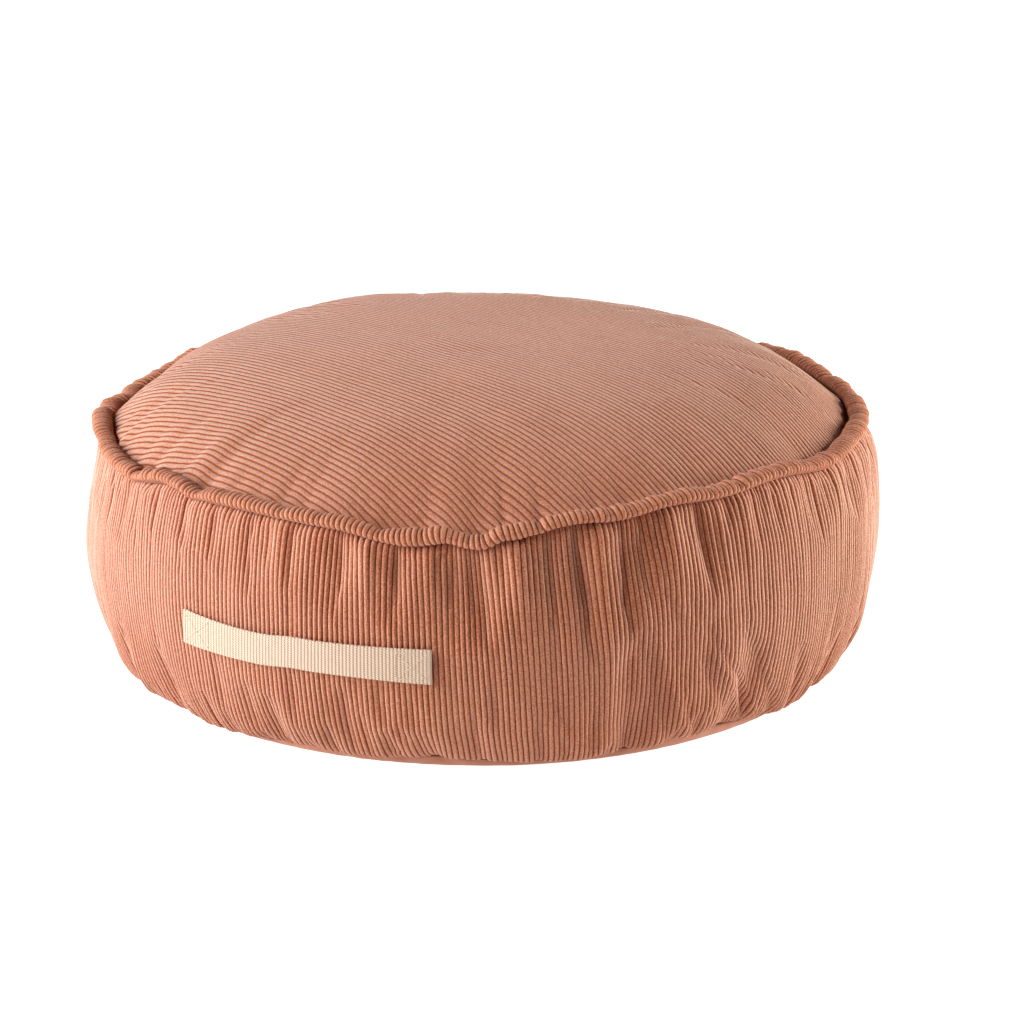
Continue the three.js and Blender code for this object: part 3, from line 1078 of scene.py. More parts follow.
@dataclass
class SideBand:
    """The gathered strip of corduroy round the side, with its wales upright."""

    seam: SeamLine
    foot: SeamLine
    wales: int = 510
    rows: int = 44
    relief: float = 1.15 * MM
    tuck: float = 3.6 * MM
    foot_tuck: float = 2.2 * MM
    gathers: GatherSet = GatherSet(TOP_GATHERS)
    base_gathers: GatherSet = GatherSet(BASE_GATHERS)
    folds: GatherSet = GatherSet(FRONT_FOLDS, pull=0.2, sharp=1.7, power=0.7)
    base_folds: GatherSet = GatherSet(BASE_FOLDS, pull=0.2, sharp=1.7, power=0.7)
    fine: GatherSet = field(default_factory=lambda: GatherSet.seeded(
        11, 170, (0.5 * MM, 2.2 * MM), (0.5, 1.2), (24 * MM, 72 * MM)))
    fine_base: GatherSet = field(default_factory=lambda: GatherSet.seeded(
        12, 120, (0.4 * MM, 1.8 * MM), (0.6, 1.4), (16 * MM, 50 * MM)))
    hollows: tuple[Hollow, ...] = (
        Hollow(-86, 20, 0.166, 0.038, -6.5 * MM),
        Hollow(84, 22, 0.100, 0.060, 2.0 * MM),
    )
    lumps: Unevenness = Unevenness(13, 1.0 * MM, (3, 22), (0.0, 1.5))
    filling: Filling = Filling(0.03)
    wale_body: Unevenness = Unevenness(14, 0.16, (8, 150), (0.0, 60.0), 40)
    tuck_reach: float = 2.5 * MM
    foot_tuck_reach: float = 1.5 * MM
    foot_reach: float = 0.025
    end_reach: float = 0.03
    lump_length: float = 0.0318
    lean_right: float = 15.0
    right_part: tuple[float, float, float] = (27.0, 38.0, 4.0)
    lean_foot: float = 0.4
    front_part: tuple[float, float, float] = (0.0, 32.0, 4.0)
    trial_rows: int = 34
    trial_columns: int = 480

    @staticmethod
    def row_heights(rows: int) -> np.ndarray:
        """Gives the rows' heights, at even steps of length along the plain profile.

        Args:
            rows: Number of rows.

        Returns:
            A height for each row.
        """
        height = np.linspace(SIDE_FOOT_HEIGHT, SIDE_TOP_HEIGHT, PROFILE_POINTS)
        steps = np.hypot(np.diff(side_radius(height)), np.diff(height))
        length = np.concatenate(([0.0], np.cumsum(steps)))
        return np.interp(np.linspace(0.0, length[-1], rows), length, height)

    def lean(self, angle: np.ndarray, from_top: np.ndarray, from_foot: np.ndarray) -> np.ndarray:
        """Gives how far the wales lean round as they go down, in degrees.

        It grows evenly with the distance from the top on the front right, and has a little more
        near the foot in the middle of the front.

        Args:
            angle: Angles round the pouf.
            from_top: Distances under the top seam.
            from_foot: Distances over the base seam.

        Returns:
            Turns in degrees, of the shape that the three broadcast to.
        """
        right = self.lean_right * bump(angle, *self.right_part) * from_top
        foot = np.clip(1.0 - from_foot / self.end_reach, 0.0, 1.0)
        return right + self.lean_foot * bump(angle, *self.front_part) * foot

    def form(self, angle: np.ndarray, height: np.ndarray) -> np.ndarray:
        """Gives the cloth's smooth surface, before its wales.

        The radius is the plain one, plus the seam's push and the hollows, less what the gathers
        of both seams draw in and short tucks at both. The top seam's rise and push fade out
        down to the belly, and the base seam's rise over some 25 mm.

        Args:
            angle: Angles of the wales.
            height: Heights on the plain profile.

        Returns:
            The points, with the wales turned towards the gathers.
        """
        from_top = SIDE_TOP_HEIGHT - height
        from_foot = height - SIDE_FOOT_HEIGHT
        near = np.clip(1.0 - from_top / (SIDE_TOP_HEIGHT - BELLY_HEIGHT), 0.0, 1.0)
        near = near ** SEAM_FADE_POWER
        upper = (self.gathers, self.folds, self.fine)
        lower = (self.base_gathers, self.base_folds, self.fine_base)
        drawn = sum(part.drawn(angle, from_top) for part in upper)
        drawn = drawn + sum(part.drawn(angle, from_foot) for part in lower)
        swell = sum(place.out * bump(angle, place.at, place.width)
                    * np.exp(-((height - place.height) / place.spread) ** 2)
                    for place in self.hollows)
        ends = np.clip(np.minimum(from_top, from_foot) / self.end_reach, 0.0, 1.0)
        uneven = self.lumps.at(np.radians(angle), height / self.lump_length) * ends
        tuck = self.tuck * np.exp(-from_top / self.tuck_reach)
        tuck = tuck + self.foot_tuck * np.exp(-from_foot / self.foot_tuck_reach)
        radius = side_radius(height) + self.seam.push(angle) * near
        radius = radius - drawn - tuck + swell + uneven
        turned = angle + self.lean(angle, from_top, from_foot)
        turned = turned + sum(part.drift(angle, from_top) for part in upper)
        turned = turned + sum(part.drift(angle, from_foot) for part in lower)
        rise = self.seam.rise(angle) * near
        rise = rise + self.foot.rise(angle) * np.exp(-(from_foot / self.foot_reach) ** 2)
        return polar(radius, turned, height + rise)

    def filled(self, row: np.ndarray, wale: np.ndarray) -> np.ndarray:
        """Gives how the filling moves the cloth, held at both seams.

        Args:
            row: Numbers of the rows.
            wale: Wale coordinates of the columns.

        Returns:
            The moves, rows by columns by xyz.
        """
        angle = np.arange(self.trial_columns) * 360.0 / self.trial_columns
        height = self.row_heights(self.trial_rows)
        held = np.zeros(self.trial_rows)
        held[[0, -1]] = 1.0
        cloth = self.form(angle[None, :], height[:, None])
        moves = self.filling.settled(cloth, angle, held)
        place = row * (self.trial_rows - 1) / (self.rows - 1)
        return sampled(moves, place[:, None], wale[None, :] * self.trial_columns / self.wales)

    def build(self, material: bpy.types.Material) -> bpy.types.Object:
        """Makes the piece: the gathered cloth raised into wales, closed below and above.

        Args:
            material: The corduroy.

        Returns:
            The side band's object.
        """
        wale = wale_coordinates(self.wales)
        angle = wale * 360.0 / self.wales
        height = self.row_heights(self.rows)
        cloth = self.form(angle[None, :], height[:, None])
        cloth = cloth + self.filled(np.arange(self.rows), wale)
        normals = normals_of(cloth, np.array([0.0, 0.0, BELLY_HEIGHT]))
        fullness = 1.0 + self.wale_body.at(np.radians(angle)[None, :], height[:, None])
        relief = self.relief * (wale_relief(wale)[None, :] * fullness - 0.5)
        cloth = cloth + normals * relief[..., None]
        foot = BASE_THICKNESS + SEAM_GAP
        (low_radius, high_radius), (low, high) = turned_edge(foot, np.array([0.0, 1.0]))
        rings = [polar(low_radius, angle, low),
                 polar(high_radius, angle, high + self.foot.rise(angle))]
        lid = polar(CROWN_RADIUS - CROWN_UNDERCUT + self.seam.push(angle), angle,
                    CROWN_FOOT + self.seam.rise(angle) - SEAM_GAP / 2)
        points = np.concatenate((np.stack(rings), cloth, lid[None]))
        level = np.concatenate(([foot, foot], height, [CROWN_FOOT]))
        marks = self.marks(points, level)
        poles = np.array([[0.0, 0.0, foot], [0.0, 0.0, CROWN_FOOT - SEAM_GAP / 2]])
        return Lattice(points, marks, poles).make("side_cover", material)

    def marks(self, points: np.ndarray, level: np.ndarray) -> np.ndarray:
        """Gives the texture places.

        Args:
            points: The rows of points from the foot up.
            level: The rows' heights on the plain profile.

        Returns:
            Wale number across and length in wale pitches along, for each point.
        """
        across = np.append(wale_coordinates(self.wales), self.wales)
        middle = points[:, 0]
        steps = np.linalg.norm(np.diff(middle, axis=0), axis=-1)
        along = np.concatenate(([0.0], np.cumsum(steps))) / WALE_PITCH
        return np.stack(np.broadcast_arrays(across[None, :], along[:, None]), axis=-1)


@dataclass
class TopPanel:
    """The round crowned top, whose wales run straight across it at a slant."""

    seam: SeamLine
    wales: int = 130
    slant: float = 45.5
    steps: int = 176
    under_steps: int = 6
    relief: float = 0.85 * MM
    flattened: float = 0.55
    puckers: GatherSet = GatherSet(CROWN_PUCKERS)
    folds: GatherSet = GatherSet(CROWN_FOLDS, pull=0.1, sharp=1.7, power=0.8)
    fine: GatherSet = field(default_factory=lambda: GatherSet.seeded(
        21, 96, (0.2 * MM, 0.9 * MM), (0.8, 1.9), (18 * MM, 60 * MM)))
    insets: SeamLine = SeamLine(CROWN_INSETS)
    ripples: SeamLine = SeamLine(SEAM_RIPPLES)
    lumps: Unevenness = Unevenness(22, 0.6 * MM, (-9, 9), (1.0, 9.0))
    pucker_share: float = 0.25
    rise: float = 0.0689
    flatness: tuple[float, float, float] = (4.56, -2.33, 1.65)
    shoulder: tuple[float, float, float] = (1.024, 0.133, -0.282)
    tip: tuple[float, float] = (17.5 * MM, -11.9 * MM)
    filling: Filling = Filling(0.0, most=3.0 * MM)
    wale_body: Unevenness = Unevenness(23, 0.15, (-150, 150), (2.0, 30.0), 40)
    crowding: tuple[float, float] = (0.35, 0.65)
    push_power: int = 3
    rise_power: int = 6
    ripple_power: int = 18
    drift_power: int = 4
    lump_edge: float = 0.08
    relief_edge: float = 0.01
    flat_start: float = 0.2
    under_end: float = 0.999
    trial_rings: int = 30
    trial_columns: int = 240
    trial_hole: float = 0.06
    trial_crowding: float = 1.5
    hole_fade: float = 3.0

    def across_coordinates(self) -> np.ndarray:
        """Gives the wale coordinates of the rows, with a few more rows near the two ends.

        Returns:
            The coordinates, rising, from near 0 to near the number of wales.
        """
        inner = wale_coordinates(self.wales)[1:]
        extra = np.array([0.04, 0.1, 0.3, 0.4])
        return np.sort(np.concatenate((inner, extra, self.wales - extra)))

    def plan(self) -> tuple[np.ndarray, np.ndarray]:
        """Gives the shares of the radius across and along the wales at each point of the top.

        A row is one line along the wales. Its points are at half * (0.35 t + 0.65 sin(t pi/2)),
        with half = sqrt(1 - across^2) and t from -1 to 1, so that they crowd at the edge.

        Returns:
            Two grids of rows by steps.
        """
        across = 2.0 * self.across_coordinates() / self.wales - 1.0
        t = np.linspace(-1.0, 1.0, self.steps)
        spread = self.crowding[0] * t + self.crowding[1] * np.sin(t * np.pi / 2.0)
        along = np.sqrt(1.0 - across ** 2)[:, None] * spread[None, :]
        return np.broadcast_to(across[:, None], along.shape), along

    def angle_of(self, across: np.ndarray, along: np.ndarray) -> np.ndarray:
        """Gives the angle round the pouf of a place in the top's plan.

        Args:
            across: Shares of the radius across the wales.
            along: Shares of the radius along the wales.

        Returns:
            Angles in degrees.
        """
        lean = math.radians(self.slant)
        x = across * math.sin(lean) + along * math.cos(lean)
        y = across * math.cos(lean) - along * math.sin(lean)
        return np.degrees(np.arctan2(x, -y))

    def crown(self, share: np.ndarray, angle: np.ndarray) -> np.ndarray:
        """Gives the crown's height over its foot: a dome rise * (1 - share^p)^(1/q).

        Each power is a + b cos angle + c sin angle, so that the dome falls gently to the front
        left and steeply to the back right. It also leans by (d cos + e sin) share (1 - share^2).

        Args:
            share: Distances from the middle over the radius.
            angle: Angles round the pouf.

        Returns:
            Heights over the top's foot.
        """
        turn = np.radians(angle)
        cosine, sine = np.cos(turn), np.sin(turn)
        p = self.flatness[0] + self.flatness[1] * cosine + self.flatness[2] * sine
        q = self.shoulder[0] + self.shoulder[1] * cosine + self.shoulder[2] * sine
        dome = np.clip(1.0 - share ** p, 0.0, 1.0) ** (1.0 / q)
        lean = (self.tip[0] * cosine + self.tip[1] * sine) * share * (1.0 - share ** 2)
        return SEAM_HEIGHT - CROWN_FOOT + self.rise * dome + lean

    def form(self, across: np.ndarray, along: np.ndarray) -> np.ndarray:
        """Gives the cloth's smooth surface, before its wales.

        Args:
            across: Shares of the radius across the wales.
            along: Shares of the radius along the wales.

        Returns:
            The points: a dome that follows the seam at its edge, less the puckers' depth, with
            the wales turned towards the puckers. The seam's short ripples fade out sooner.
        """
        share = np.hypot(across, along)
        angle = self.angle_of(across, along)
        push = self.seam.push(angle) * share ** self.push_power
        push = push + self.insets.push(angle) * share ** self.rise_power
        radius = share * (CROWN_RADIUS + push)
        distance = CROWN_RADIUS - radius + PUCKER_START
        parts = ((self.puckers, self.pucker_share), (self.folds, 1.0), (self.fine, 1.0))
        sink = sum(part.drawn(angle, distance) * weight for part, weight in parts)
        inner = np.clip((1.0 - share) / self.lump_edge, 0.0, 1.0)
        uneven = self.lumps.at(across, along) * inner
        near = share ** self.rise_power
        rise = self.seam.rise(angle) * near
        rise = rise - self.ripples.rise(angle) * (near - share ** self.ripple_power)
        height = CROWN_FOOT + rise + self.crown(share, angle) - sink * share + uneven
        drift = sum(part.drift(angle, distance) * weight for part, weight in parts)
        turned = angle + drift * share ** self.drift_power
        return polar(radius, turned, height)

    def filled(self, across: np.ndarray, along: np.ndarray) -> np.ndarray:
        """Gives how the filling moves the cloth, held at its edge.

        The copy has rings from the edge to a small hole in the middle, at a share of the way
        in of (ring / last ring)^trial_crowding. Its moves fade out over the hole.

        Args:
            across: Shares of the radius across the wales.
            along: Shares of the radius along the wales.

        Returns:
            The moves, with x, y and z along a new last axis.
        """
        lean = math.radians(self.slant)
        angle = np.arange(self.trial_columns) * 360.0 / self.trial_columns
        ring = np.linspace(0.0, 1.0, self.trial_rings)
        share = 1.0 - (1.0 - self.trial_hole) * ring[:, None] ** self.trial_crowding
        x, y = share * np.sin(np.radians(angle)), -share * np.cos(np.radians(angle))
        held = np.zeros(self.trial_rings)
        held[0] = 1.0
        cloth = self.form(x * math.sin(lean) + y * math.cos(lean),
                          x * math.cos(lean) - y * math.sin(lean))
        moves = self.filling.settled(cloth, angle, held)
        share = np.hypot(across, along)
        way_in = np.clip((1.0 - share) / (1.0 - self.trial_hole), 0.0, 1.0)
        way_in = way_in ** (1.0 / self.trial_crowding)
        column = self.angle_of(across, along) * self.trial_columns / 360.0
        fade = np.clip(share / (self.hole_fade * self.trial_hole), 0.0, 1.0) ** 2
        return sampled(moves, way_in * (self.trial_rings - 1), column) * fade[..., None]

    def build(self, material: bpy.types.Material) -> bpy.types.Object:
        """Makes the piece: the domed cloth raised into wales, closed by its level underside.

        The wales are pressed flatter towards the left.

        Args:
            material: The corduroy.

        Returns:
            The top's object.
        """
        across, along = self.plan()
        cloth = self.form(across, along) + self.filled(across, along)
        tangents = np.gradient(cloth, axis=0), np.gradient(cloth, axis=1)
        normals = np.cross(*tangents)
        normals *= np.sign(normals[..., 2:3]) / np.maximum(
            np.linalg.norm(normals, axis=-1, keepdims=True), TINY)
        wale = self.across_coordinates()
        edge = np.clip((1.0 - np.hypot(across, along)) / self.relief_edge, 0.0, 1.0)
        left = np.clip(self.flat_start - cloth[..., 0] / CROWN_RADIUS, 0.0, 1.0)
        fullness = (1.0 + self.wale_body.at(across, along)) * (1.0 - self.flattened * left)
        relief = self.relief * (wale_relief(wale)[:, None] * fullness - 0.5) * edge
        cloth = cloth + normals * relief[..., None]
        t = np.linspace(self.under_end, -self.under_end, self.under_steps)
        under = np.sqrt(1.0 - across[:, :1] ** 2) * t[None, :]
        under_across = np.broadcast_to(across[:, :1], under.shape)
        share = np.hypot(under_across, under)
        angle = self.angle_of(under_across, under)
        radius = share * (CROWN_RADIUS - CROWN_UNDERCUT + self.seam.push(angle))
        height = CROWN_FOOT + self.seam.rise(angle) * share ** 2 + SEAM_GAP / 2
        underside = polar(radius, angle, height)
        points = np.concatenate((cloth, underside), axis=1)
        ends = np.array([-1.0, 1.0])
        poles = self.form(ends, np.zeros(2))
        lengths = np.concatenate((along, under), axis=1) * CROWN_RADIUS / WALE_PITCH
        lengths = np.concatenate((lengths, lengths[:, :1]), axis=1)
        marks = np.stack(np.broadcast_arrays(wale[:, None], lengths), axis=-1)
        return Lattice(points, marks, poles).make("top_cover", material)


@dataclass
class RolledEdge:
    """The bias strip rolled to a thick edge and sewn round the top seam, its wales across it."""

    seam: SeamLine
    wales: int = 476
    sides: int = 24
    slim_width: float = 0.92
    slim_height: float = 0.92
    hang: float = 0.6 * MM
    relief: float = 1.15 * MM
    relief_power: float = 0.7
    sunk: float = 0.6
    heading_reach: int = 4
    lean: float = -0.6 * MM
    swells: tuple[Swell, ...] = ROLL_SWELLS + ROLL_TUCKS
    tucks: GatherSet = field(default_factory=lambda: GatherSet.seeded(
        31, 48, (0.05, 0.2), (0.4, 1.0), (1.0, 1.0)))
    lumps: Unevenness = Unevenness(32, 0.05, (20, 150), (0.0, 0.0))

    def swell(self, angle: np.ndarray) -> np.ndarray:
        """Gives how much fatter the roll is: its swells and lumps, less its small tucks.

        Args:
            angle: Angles round the pouf.

        Returns:
            Shares of the roll's size.
        """
        total = sum(row.share * bump(angle, row.at, row.width) for row in self.swells)
        tucks = sum(row.depth * bump(angle, row.at, row.width) for row in self.tucks.troughs)
        return total - tucks + self.lumps.at(np.radians(angle), np.zeros_like(angle))

    def build(self, material: bpy.types.Material) -> bpy.types.Object:
        """Makes the piece: an oval section carried round the seam, square to its path.

        Args:
            material: The corduroy.

        Returns:
            The roll's object.
        """
        wale = wale_coordinates(self.wales)
        angle = wale * 360.0 / self.wales
        swell = self.swell(angle)
        half_width = ROLL_HALF_WIDTH * self.slim_width * (1.0 + swell / 2.0)
        half_height = ROLL_HALF_HEIGHT * self.slim_height * (1.0 + swell)
        middle = polar(ROLL_RADIUS + self.seam.push(angle), angle,
                       ROLL_FOOT - self.hang + self.seam.rise(angle) + half_height)
        reach = self.heading_reach
        path = np.roll(middle, -reach, axis=0) - np.roll(middle, reach, axis=0)
        path /= np.linalg.norm(path, axis=-1, keepdims=True)
        out = polar(1.0, angle, 0.0)
        out = out - path * np.sum(out * path, axis=-1, keepdims=True)
        out /= np.linalg.norm(out, axis=-1, keepdims=True)
        up = np.cross(out, path)
        turn = np.arange(self.sides) * 2.0 * np.pi / self.sides
        cosine, sine = np.cos(turn)[None, :, None], np.sin(turn)[None, :, None]
        section = (out[:, None] * half_width[:, None, None] * cosine
                   + up[:, None] * half_height[:, None, None] * sine
                   + path[:, None] * self.lean * sine)
        points = middle[:, None] + section
        normals = normals_of(points, middle[:, None], joined=True)
        relief = self.relief * (wale_relief(wale, self.relief_power) - self.sunk)
        points = points + normals * relief[:, None, None]
        girth = 2.0 * np.pi * (ROLL_HALF_WIDTH + ROLL_HALF_HEIGHT) / 2.0 / WALE_PITCH
        across = np.append(wale, self.wales)
        along = np.linspace(0.0, girth, self.sides + 1)
        marks = np.stack(np.broadcast_arrays(across[:, None], along[None, :]), axis=-1)
        return Lattice(points, marks).make("roll_cover", material)


@dataclass
class BasePanel:
    """The round of plain cloth under the pouf, turned up at its edge to the base seam."""

    foot: SeamLine
    columns: int = 480
    steps: int = 9
    wrinkles: Unevenness = Unevenness(41, 0.5 * MM, (18, 120), (0.0, 2.0), 30)
    wrinkle_slant: float = 300.0
    wrinkle_gain: float = 1.6
    hub: float = 0.6
    thread_pitch: float = 0.9 * MM

    def build(self, material: bpy.types.Material) -> bpy.types.Object:
        """Makes the piece: an inner and an outer face joined at the base seam.

        Args:
            material: The base cloth.

        Returns:
            The base's object.
        """
        angle = np.arange(self.columns) * 360.0 / self.columns
        rising = np.linspace(0.0, 1.0, self.steps)
        inner = turned_edge(BASE_THICKNESS, rising)
        outer = turned_edge(0.0, rising[::-1])
        hub = [self.hub * BASE_FLAT_RADIUS]
        radius = np.concatenate((hub, inner[0], outer[0], hub))
        height = np.concatenate(([BASE_THICKNESS], inner[1], outer[1], [0.0]))
        edge = np.concatenate(([0.0], np.zeros(self.steps), rising[::-1], [0.0]))
        shape = self.wrinkles.at(np.radians(angle)[None, :], height[:, None] * self.wrinkle_slant)
        swell = (edge * (1.0 - 0.5 * edge))[:, None]
        radii = radius[:, None] + shape * swell * self.wrinkle_gain
        lifted = height[:, None] + (height / BASE_TURN_HEIGHT)[:, None] * self.foot.rise(angle)
        points = polar(radii, angle[None, :], lifted)
        flat = points[..., :2] / self.thread_pitch
        marks = np.concatenate((flat, flat[:, :1]), axis=1)
        poles = np.array([[0.0, 0.0, BASE_THICKNESS], [0.0, 0.0, 0.0]])
        return Lattice(points, marks, poles).make("base_cover", material)


@dataclass
class Strap:
    """The flat carrying strap of ribbed webbing, sewn down at both ends on the front left."""

    steps: int = 420
    front: int = 84
    back: int = 12
    rib: float = 2.75 * MM
    row: float = 2.0 * MM
    relief: float = 0.5 * MM
    tilt: float = 0.2
    tilt_part: tuple[float, float, float] = (-25.0, 15.0, 3.0)
    tilt_start: float = 9.0
    skew: float = 0.55
    lift: float = 0.5 * MM
    stitch: float = 3.0 * MM
    thread: float = 0.42 * MM
    box: float = 27.0 * MM
    box_margin: float = 3.0 * MM
    box_inset: float = 3.2 * MM
    soft_edge: float = 0.6 * MM
    edge_bulge: float = 0.35 * MM
    edge_share: float = 0.35
    weave_power: float = 0.7
    rib_share: float = 0.25
    back_relief: float = -0.3
    bulge_power: int = 12
    stitch_gap: float = 0.08
    stitch_end: float = 0.98
    stitch_rings: int = 7
    stitch_sides: int = 8
    stitch_arch: float = 0.4

    @property
    def length(self) -> float:
        """Gives the strap's length along its middle.

        Returns:
            The length of a line of LENGTH_POINTS points.
        """
        share = np.linspace(0.0, 1.0, LENGTH_POINTS)
        path = self.place(share, np.zeros(LENGTH_POINTS), np.zeros(LENGTH_POINTS))
        return float(np.sum(np.linalg.norm(np.diff(path, axis=0), axis=-1)))

    def place(self, share: np.ndarray, across: np.ndarray, lift: np.ndarray) -> np.ndarray:
        """Gives a point on or over the strap's inner face.

        The middle line runs round at the strap's height plus its droops, and its lower edge
        tilts up in the middle. The inner face stands off the side by the gap and a slack of
        sin^2(pi share). The left end is skewed so that it hangs upright.

        Args:
            share: Place along the strap, 0 to 1.
            across: Distance up from the middle line.
            lift: Distance out from the inner face.

        Returns:
            The points.
        """
        angle = STRAP_START + (STRAP_END - STRAP_START) * share
        droop = sum(wave.up * bump(angle, wave.at, wave.width) for wave in STRAP_DROOPS)
        tilt = self.tilt * bump(angle, *self.tilt_part)
        tilt = tilt * np.clip(share * self.tilt_start, 0.0, 1.0)
        height = STRAP_HEIGHT + droop + across - np.minimum(across, 0.0) * tilt
        angle = angle + self.skew * (1.0 - share) * across / STRAP_WIDTH
        slack = STRAP_SLACK * np.sin(np.pi * share) ** 2
        return polar(side_radius(height) + SEAM_GAP + slack + self.lift + lift, angle, height)

    def build(self, material: bpy.types.Material) -> bpy.types.Object:
        """Makes the webbing: a flat closed section carried along, its front raised in ribs.

        Args:
            material: The webbing.

        Returns:
            The strap's object.
        """
        half = STRAP_WIDTH / 2.0
        length = self.length
        along = np.linspace(0.0, length, self.steps)
        front = np.linspace(-half, half, self.front)
        back = np.linspace(half, -half, self.back)
        across = np.concatenate((front, back))
        depth = np.concatenate((np.full(self.front, STRAP_THICKNESS), np.zeros(self.back)))
        soft = np.clip((half - np.abs(across)) / self.soft_edge, 0.0, 1.0) ** 0.5
        middle = STRAP_THICKNESS / 2.0
        depth = middle + (depth - middle) * (self.edge_share + (1.0 - self.edge_share) * soft)
        ribs = np.abs(np.sin(np.pi * along / self.rib))[:, None] ** self.weave_power
        shift = np.floor(along / self.rib)[:, None] * 0.5
        rows = np.abs(np.sin(np.pi * (across[None, :] / self.row + shift))) ** self.weave_power
        pits = (1.0 - self.rib_share) * (1.0 - ribs) * (1.0 - rows)
        relief = self.relief * (self.rib_share * ribs - pits)
        facing = np.where(depth > middle, 1.0, self.back_relief)[None, :]
        near_edge = (np.abs(across)[None, :] / half) ** self.bulge_power
        bulge = self.edge_bulge * (ribs - 0.5) * near_edge
        wide = across[None, :] + np.sign(across)[None, :] * bulge
        lift = depth[None, :] + relief * facing
        points = self.place(along[:, None] / length, wide, lift)
        marks = np.stack(np.broadcast_arrays(
            along[:, None] / self.rib,
            np.append(across, across[0])[None, :] / self.row + shift), axis=-1)
        poles = self.place(np.array([0.0, 1.0]), np.zeros(2), np.full(2, middle))
        return Lattice(points, marks, poles).make("strap_webbing", material)

    def stitch_lines(self) -> list[tuple[np.ndarray, np.ndarray]]:
        """Gives the sewn lines at both ends, each a start and an end: a box with a cross in it.

        Returns:
            Pairs of (distance along, distance across).
        """
        side = STRAP_WIDTH / 2.0 - self.box_inset
        lines = []
        near_end = (self.box_margin, self.box)
        far_end = (self.length - self.box, self.length - self.box_margin)
        for near, far in (near_end, far_end):
            corners = [(near, -side), (far, -side), (far, side), (near, side)]
            pairs = list(zip(corners, corners[1:] + corners[:1]))
            pairs += [(corners[0], corners[2]), (corners[1], corners[3])]
            lines += [(np.array(a), np.array(b)) for a, b in pairs]
        return lines

    def build_stitches(self, material: bpy.types.Material) -> bpy.types.Object:
        """Makes the stitches: short rounded threads along the sewn lines, half sunk in.

        Each is a grid of rings by sides, thickness * sqrt(1 - t^2)^0.6 round its own line.

        Args:
            material: The thread.

        Returns:
            One object with every stitch.
        """
        starts, ends = [], []
        for a, b in self.stitch_lines():
            count = max(1, round(float(np.linalg.norm(b - a)) / self.stitch))
            share = np.arange(count)[:, None] / count
            starts.append(a + (b - a) * (share + self.stitch_gap / count))
            ends.append(a + (b - a) * (share + (1.0 - self.stitch_gap) / count))
        start, end = np.concatenate(starts), np.concatenate(ends)
        t = np.linspace(-self.stitch_end, self.stitch_end, self.stitch_rings)
        turn = np.arange(self.stitch_sides) * 2.0 * np.pi / self.stitch_sides
        line = start[:, None] + (end - start)[:, None] * ((t + 1.0) / 2.0)[None, :, None]
        heading = (end - start) / np.linalg.norm(end - start, axis=-1, keepdims=True)
        side = np.stack((-heading[:, 1], heading[:, 0]), axis=-1)
        thick = self.thread * (1.0 - t ** 2) ** 0.3
        offset = thick[None, :, None] * np.cos(turn)[None, None, :]
        flat = line[:, :, None, :] + side[:, None, None, :] * offset[..., None]
        arch = self.thread * (0.25 + 0.75 * (1.0 - t ** 2)[None, :, None])
        lift = STRAP_THICKNESS + arch * self.stitch_arch
        lift = lift + thick[None, :, None] * np.sin(turn)[None, None, :]
        length = self.length
        points = self.place(flat[..., 0] / length, flat[..., 1],
                            np.broadcast_to(lift, flat.shape[:3]))
        return self._join_stitches(points, material)

    @staticmethod
    def _join_stitches(points: np.ndarray, material: bpy.types.Material) -> bpy.types.Object:
        """Joins stitches of rows by columns of points into one mesh, closed by flat ends.

        Args:
            points: Stitches by rows by columns by xyz.
            material: The thread.

        Returns:
            The object.
        """
        count, rows, columns = points.shape[:3]
        quads = grid_quads(rows - 1, rows, columns)[:, [0, 3, 2, 1]]
        first = np.arange(count)[:, None, None] * rows * columns
        quads = (first + quads.reshape(1, -1, 4)).reshape(-1, 4)
        caps = np.stack((np.arange(columns), (rows - 1) * columns + np.arange(columns)[::-1]))
        caps = (first + caps[None]).reshape(-1, columns)
        within = np.concatenate([quads.ravel(), caps.ravel()]) % (rows * columns)
        marks = np.stack((within // columns / 3.0, within % columns / columns), axis=-1)
        faces = quads.tolist() + caps.tolist()
        return mesh_piece("strap_stitches", points, faces, marks, material)


@dataclass(frozen=True)
class SoftBox:
    """A square soft light aimed at the pouf."""

    name: str
    place: tuple[float, float, float]
    size: float
    power: float
    tint: tuple[float, float, float] = (1.0, 1.0, 1.0)

    def build(self, target: Vector) -> None:
        """Makes the light.

        Args:
            target: The place that it faces.
        """
        lamp = bpy.data.lights.new(self.name, "AREA")
        lamp.shape = "SQUARE"
        lamp.size = self.size
        lamp.energy = self.power
        lamp.color = self.tint
        holder = placed(self.name, lamp)
        holder.location = self.place
        holder.rotation_euler = (target - Vector(self.place)).to_track_quat("-Z", "Y").to_euler()


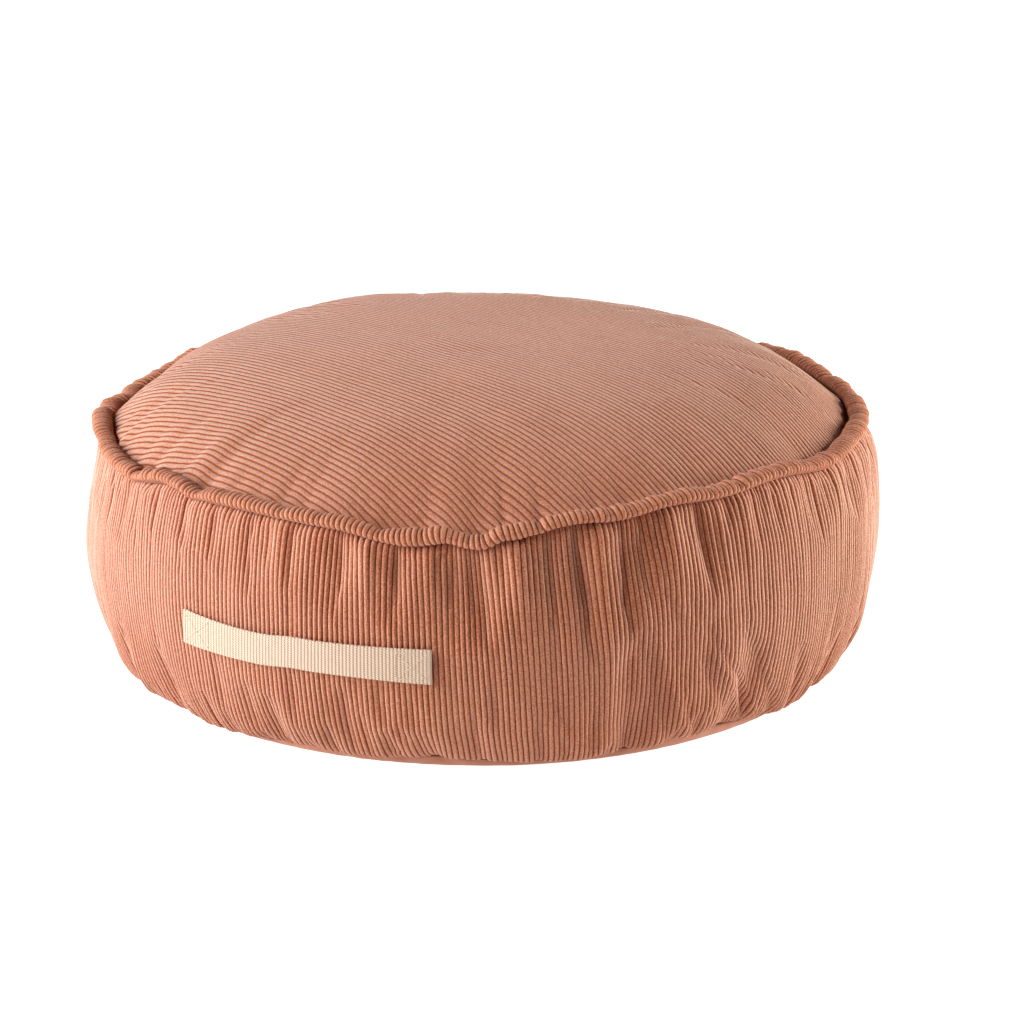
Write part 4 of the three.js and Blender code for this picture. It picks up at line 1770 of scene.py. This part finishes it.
@dataclass
class Studio:
    """A white sweep, a white surround, soft lights at both sides, and the camera."""

    target: tuple[float, float, float] = (0.0, 0.0, 0.11)
    distance: float = 2.6
    elevation: float = 17.2051
    lens: float = 110.3
    shift: tuple[float, float] = (0.0305, 0.0044)
    sensor_width: float = 36.0
    floor_half: float = 8.0
    boxes: tuple[SoftBox, ...] = (
        SoftBox("left_box", (-2.318, -0.844, 1.208), 1.9, 129.0, (0.96, 1.0, 1.06)),
        SoftBox("right_box", (2.6, 0.26, 0.83), 1.4, 104.0, (1.0, 0.985, 0.95)),
    )

    def build(self) -> None:
        """Makes the floor, the surround, the lights and the camera."""
        scene = bpy.context.scene
        scene.view_settings.view_transform = "Standard"
        for box in self.boxes:
            box.build(Vector(self.target))
        self._build_floor()
        self._build_surround()
        self._build_camera()

    def _build_floor(self) -> None:
        """Makes the floor, a level square."""
        far = self.floor_half
        mesh = bpy.data.meshes.new("studio_floor")
        corners = [(-far, -far, 0.0), (far, -far, 0.0), (far, far, 0.0), (-far, far, 0.0)]
        mesh.from_pydata(corners, [], [(0, 1, 2, 3)])
        mesh.materials.append(Floor().material())
        placed("studio_floor", mesh)

    def _build_surround(self) -> None:
        """Makes the white surround, which is seen but gives no light."""
        world = bpy.data.worlds.new("white_surround")
        graph = Graph(world)
        seen = graph.node("ShaderNodeLightPath", output="Is Camera Ray")
        values = {"Color": colour(1.0, 1.0, 1.0), "Strength": seen}
        light = graph.node("ShaderNodeBackground", values=values)
        graph.node("ShaderNodeOutputWorld", values={"Surface": light})
        bpy.context.scene.world = world

    def _build_camera(self) -> None:
        """Makes the camera on a sphere round its target, with the photograph's framing."""
        lens = bpy.data.cameras.new("camera")
        lens.lens = self.lens
        lens.sensor_width = self.sensor_width
        lens.shift_x, lens.shift_y = self.shift
        camera = placed("camera", lens)
        rise = math.radians(self.elevation)
        away = Vector((0.0, -math.cos(rise), math.sin(rise))) * self.distance
        camera.location = Vector(self.target) + away
        camera.rotation_euler = (-away).to_track_quat("-Z", "Y").to_euler()
        bpy.context.scene.camera = camera


def report(piece: bpy.types.Object) -> None:
    """Logs a piece's name and its number of triangles."""
    piece.data.calc_loop_triangles()
    LOG.info("%s: %d triangles", piece.name, len(piece.data.loop_triangles))


def place_piece(piece: bpy.types.Object, slot: str, *nodes: str) -> None:
    """Fixes a piece to the frame.

    Args:
        piece: The piece.
        slot: Not used.
        *nodes: The CAD nodes that it stands for.
    """
    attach(piece, "root")
    if nodes:
        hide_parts(*nodes)
    report(piece)


def main() -> None:
    """Builds the studio, then each piece from the top down."""
    logging.basicConfig(level=logging.INFO, format="%(message)s", stream=sys.stdout)
    Studio().build()
    seam = SeamLine()
    corduroy = Corduroy().material()

    # The top's copy has lighter painted groove shade and a little less painted sheen.
    crowned = Corduroy("crowned_corduroy", groove_shade=colour(0.26, 0.070, 0.031),
                       spread=1.25).material()
    top = TopPanel(seam).build(crowned)
    place_piece(top, "corduroy", "top_panel")

    foot = SeamLine(FOOT_WAVES)
    side = SideBand(seam, foot).build(corduroy)
    place_piece(side, "corduroy", "side_band")

    # The roll's copy has a lighter ridge colour, painted light on the roll, less painted sheen and
    # a weaker real sheen.
    rolled = Corduroy("rolled_corduroy", ridge=colour(0.56, 0.19, 0.094), spread=0.5,
                      sheen=0.25).material()
    roll = RolledEdge(seam).build(rolled)
    place_piece(roll, "corduroy", "rolled_edge")

    base = BasePanel(foot).build(BaseCloth().material())
    place_piece(base, "base_cloth", "base_panel")

    strap = Strap()
    webbing = strap.build(Webbing().material())
    place_piece(webbing, "webbing", "handle")
    stitches = strap.build_stitches(Thread().material())
    place_piece(stitches, "webbing")


if __name__ == "__main__":
    main()
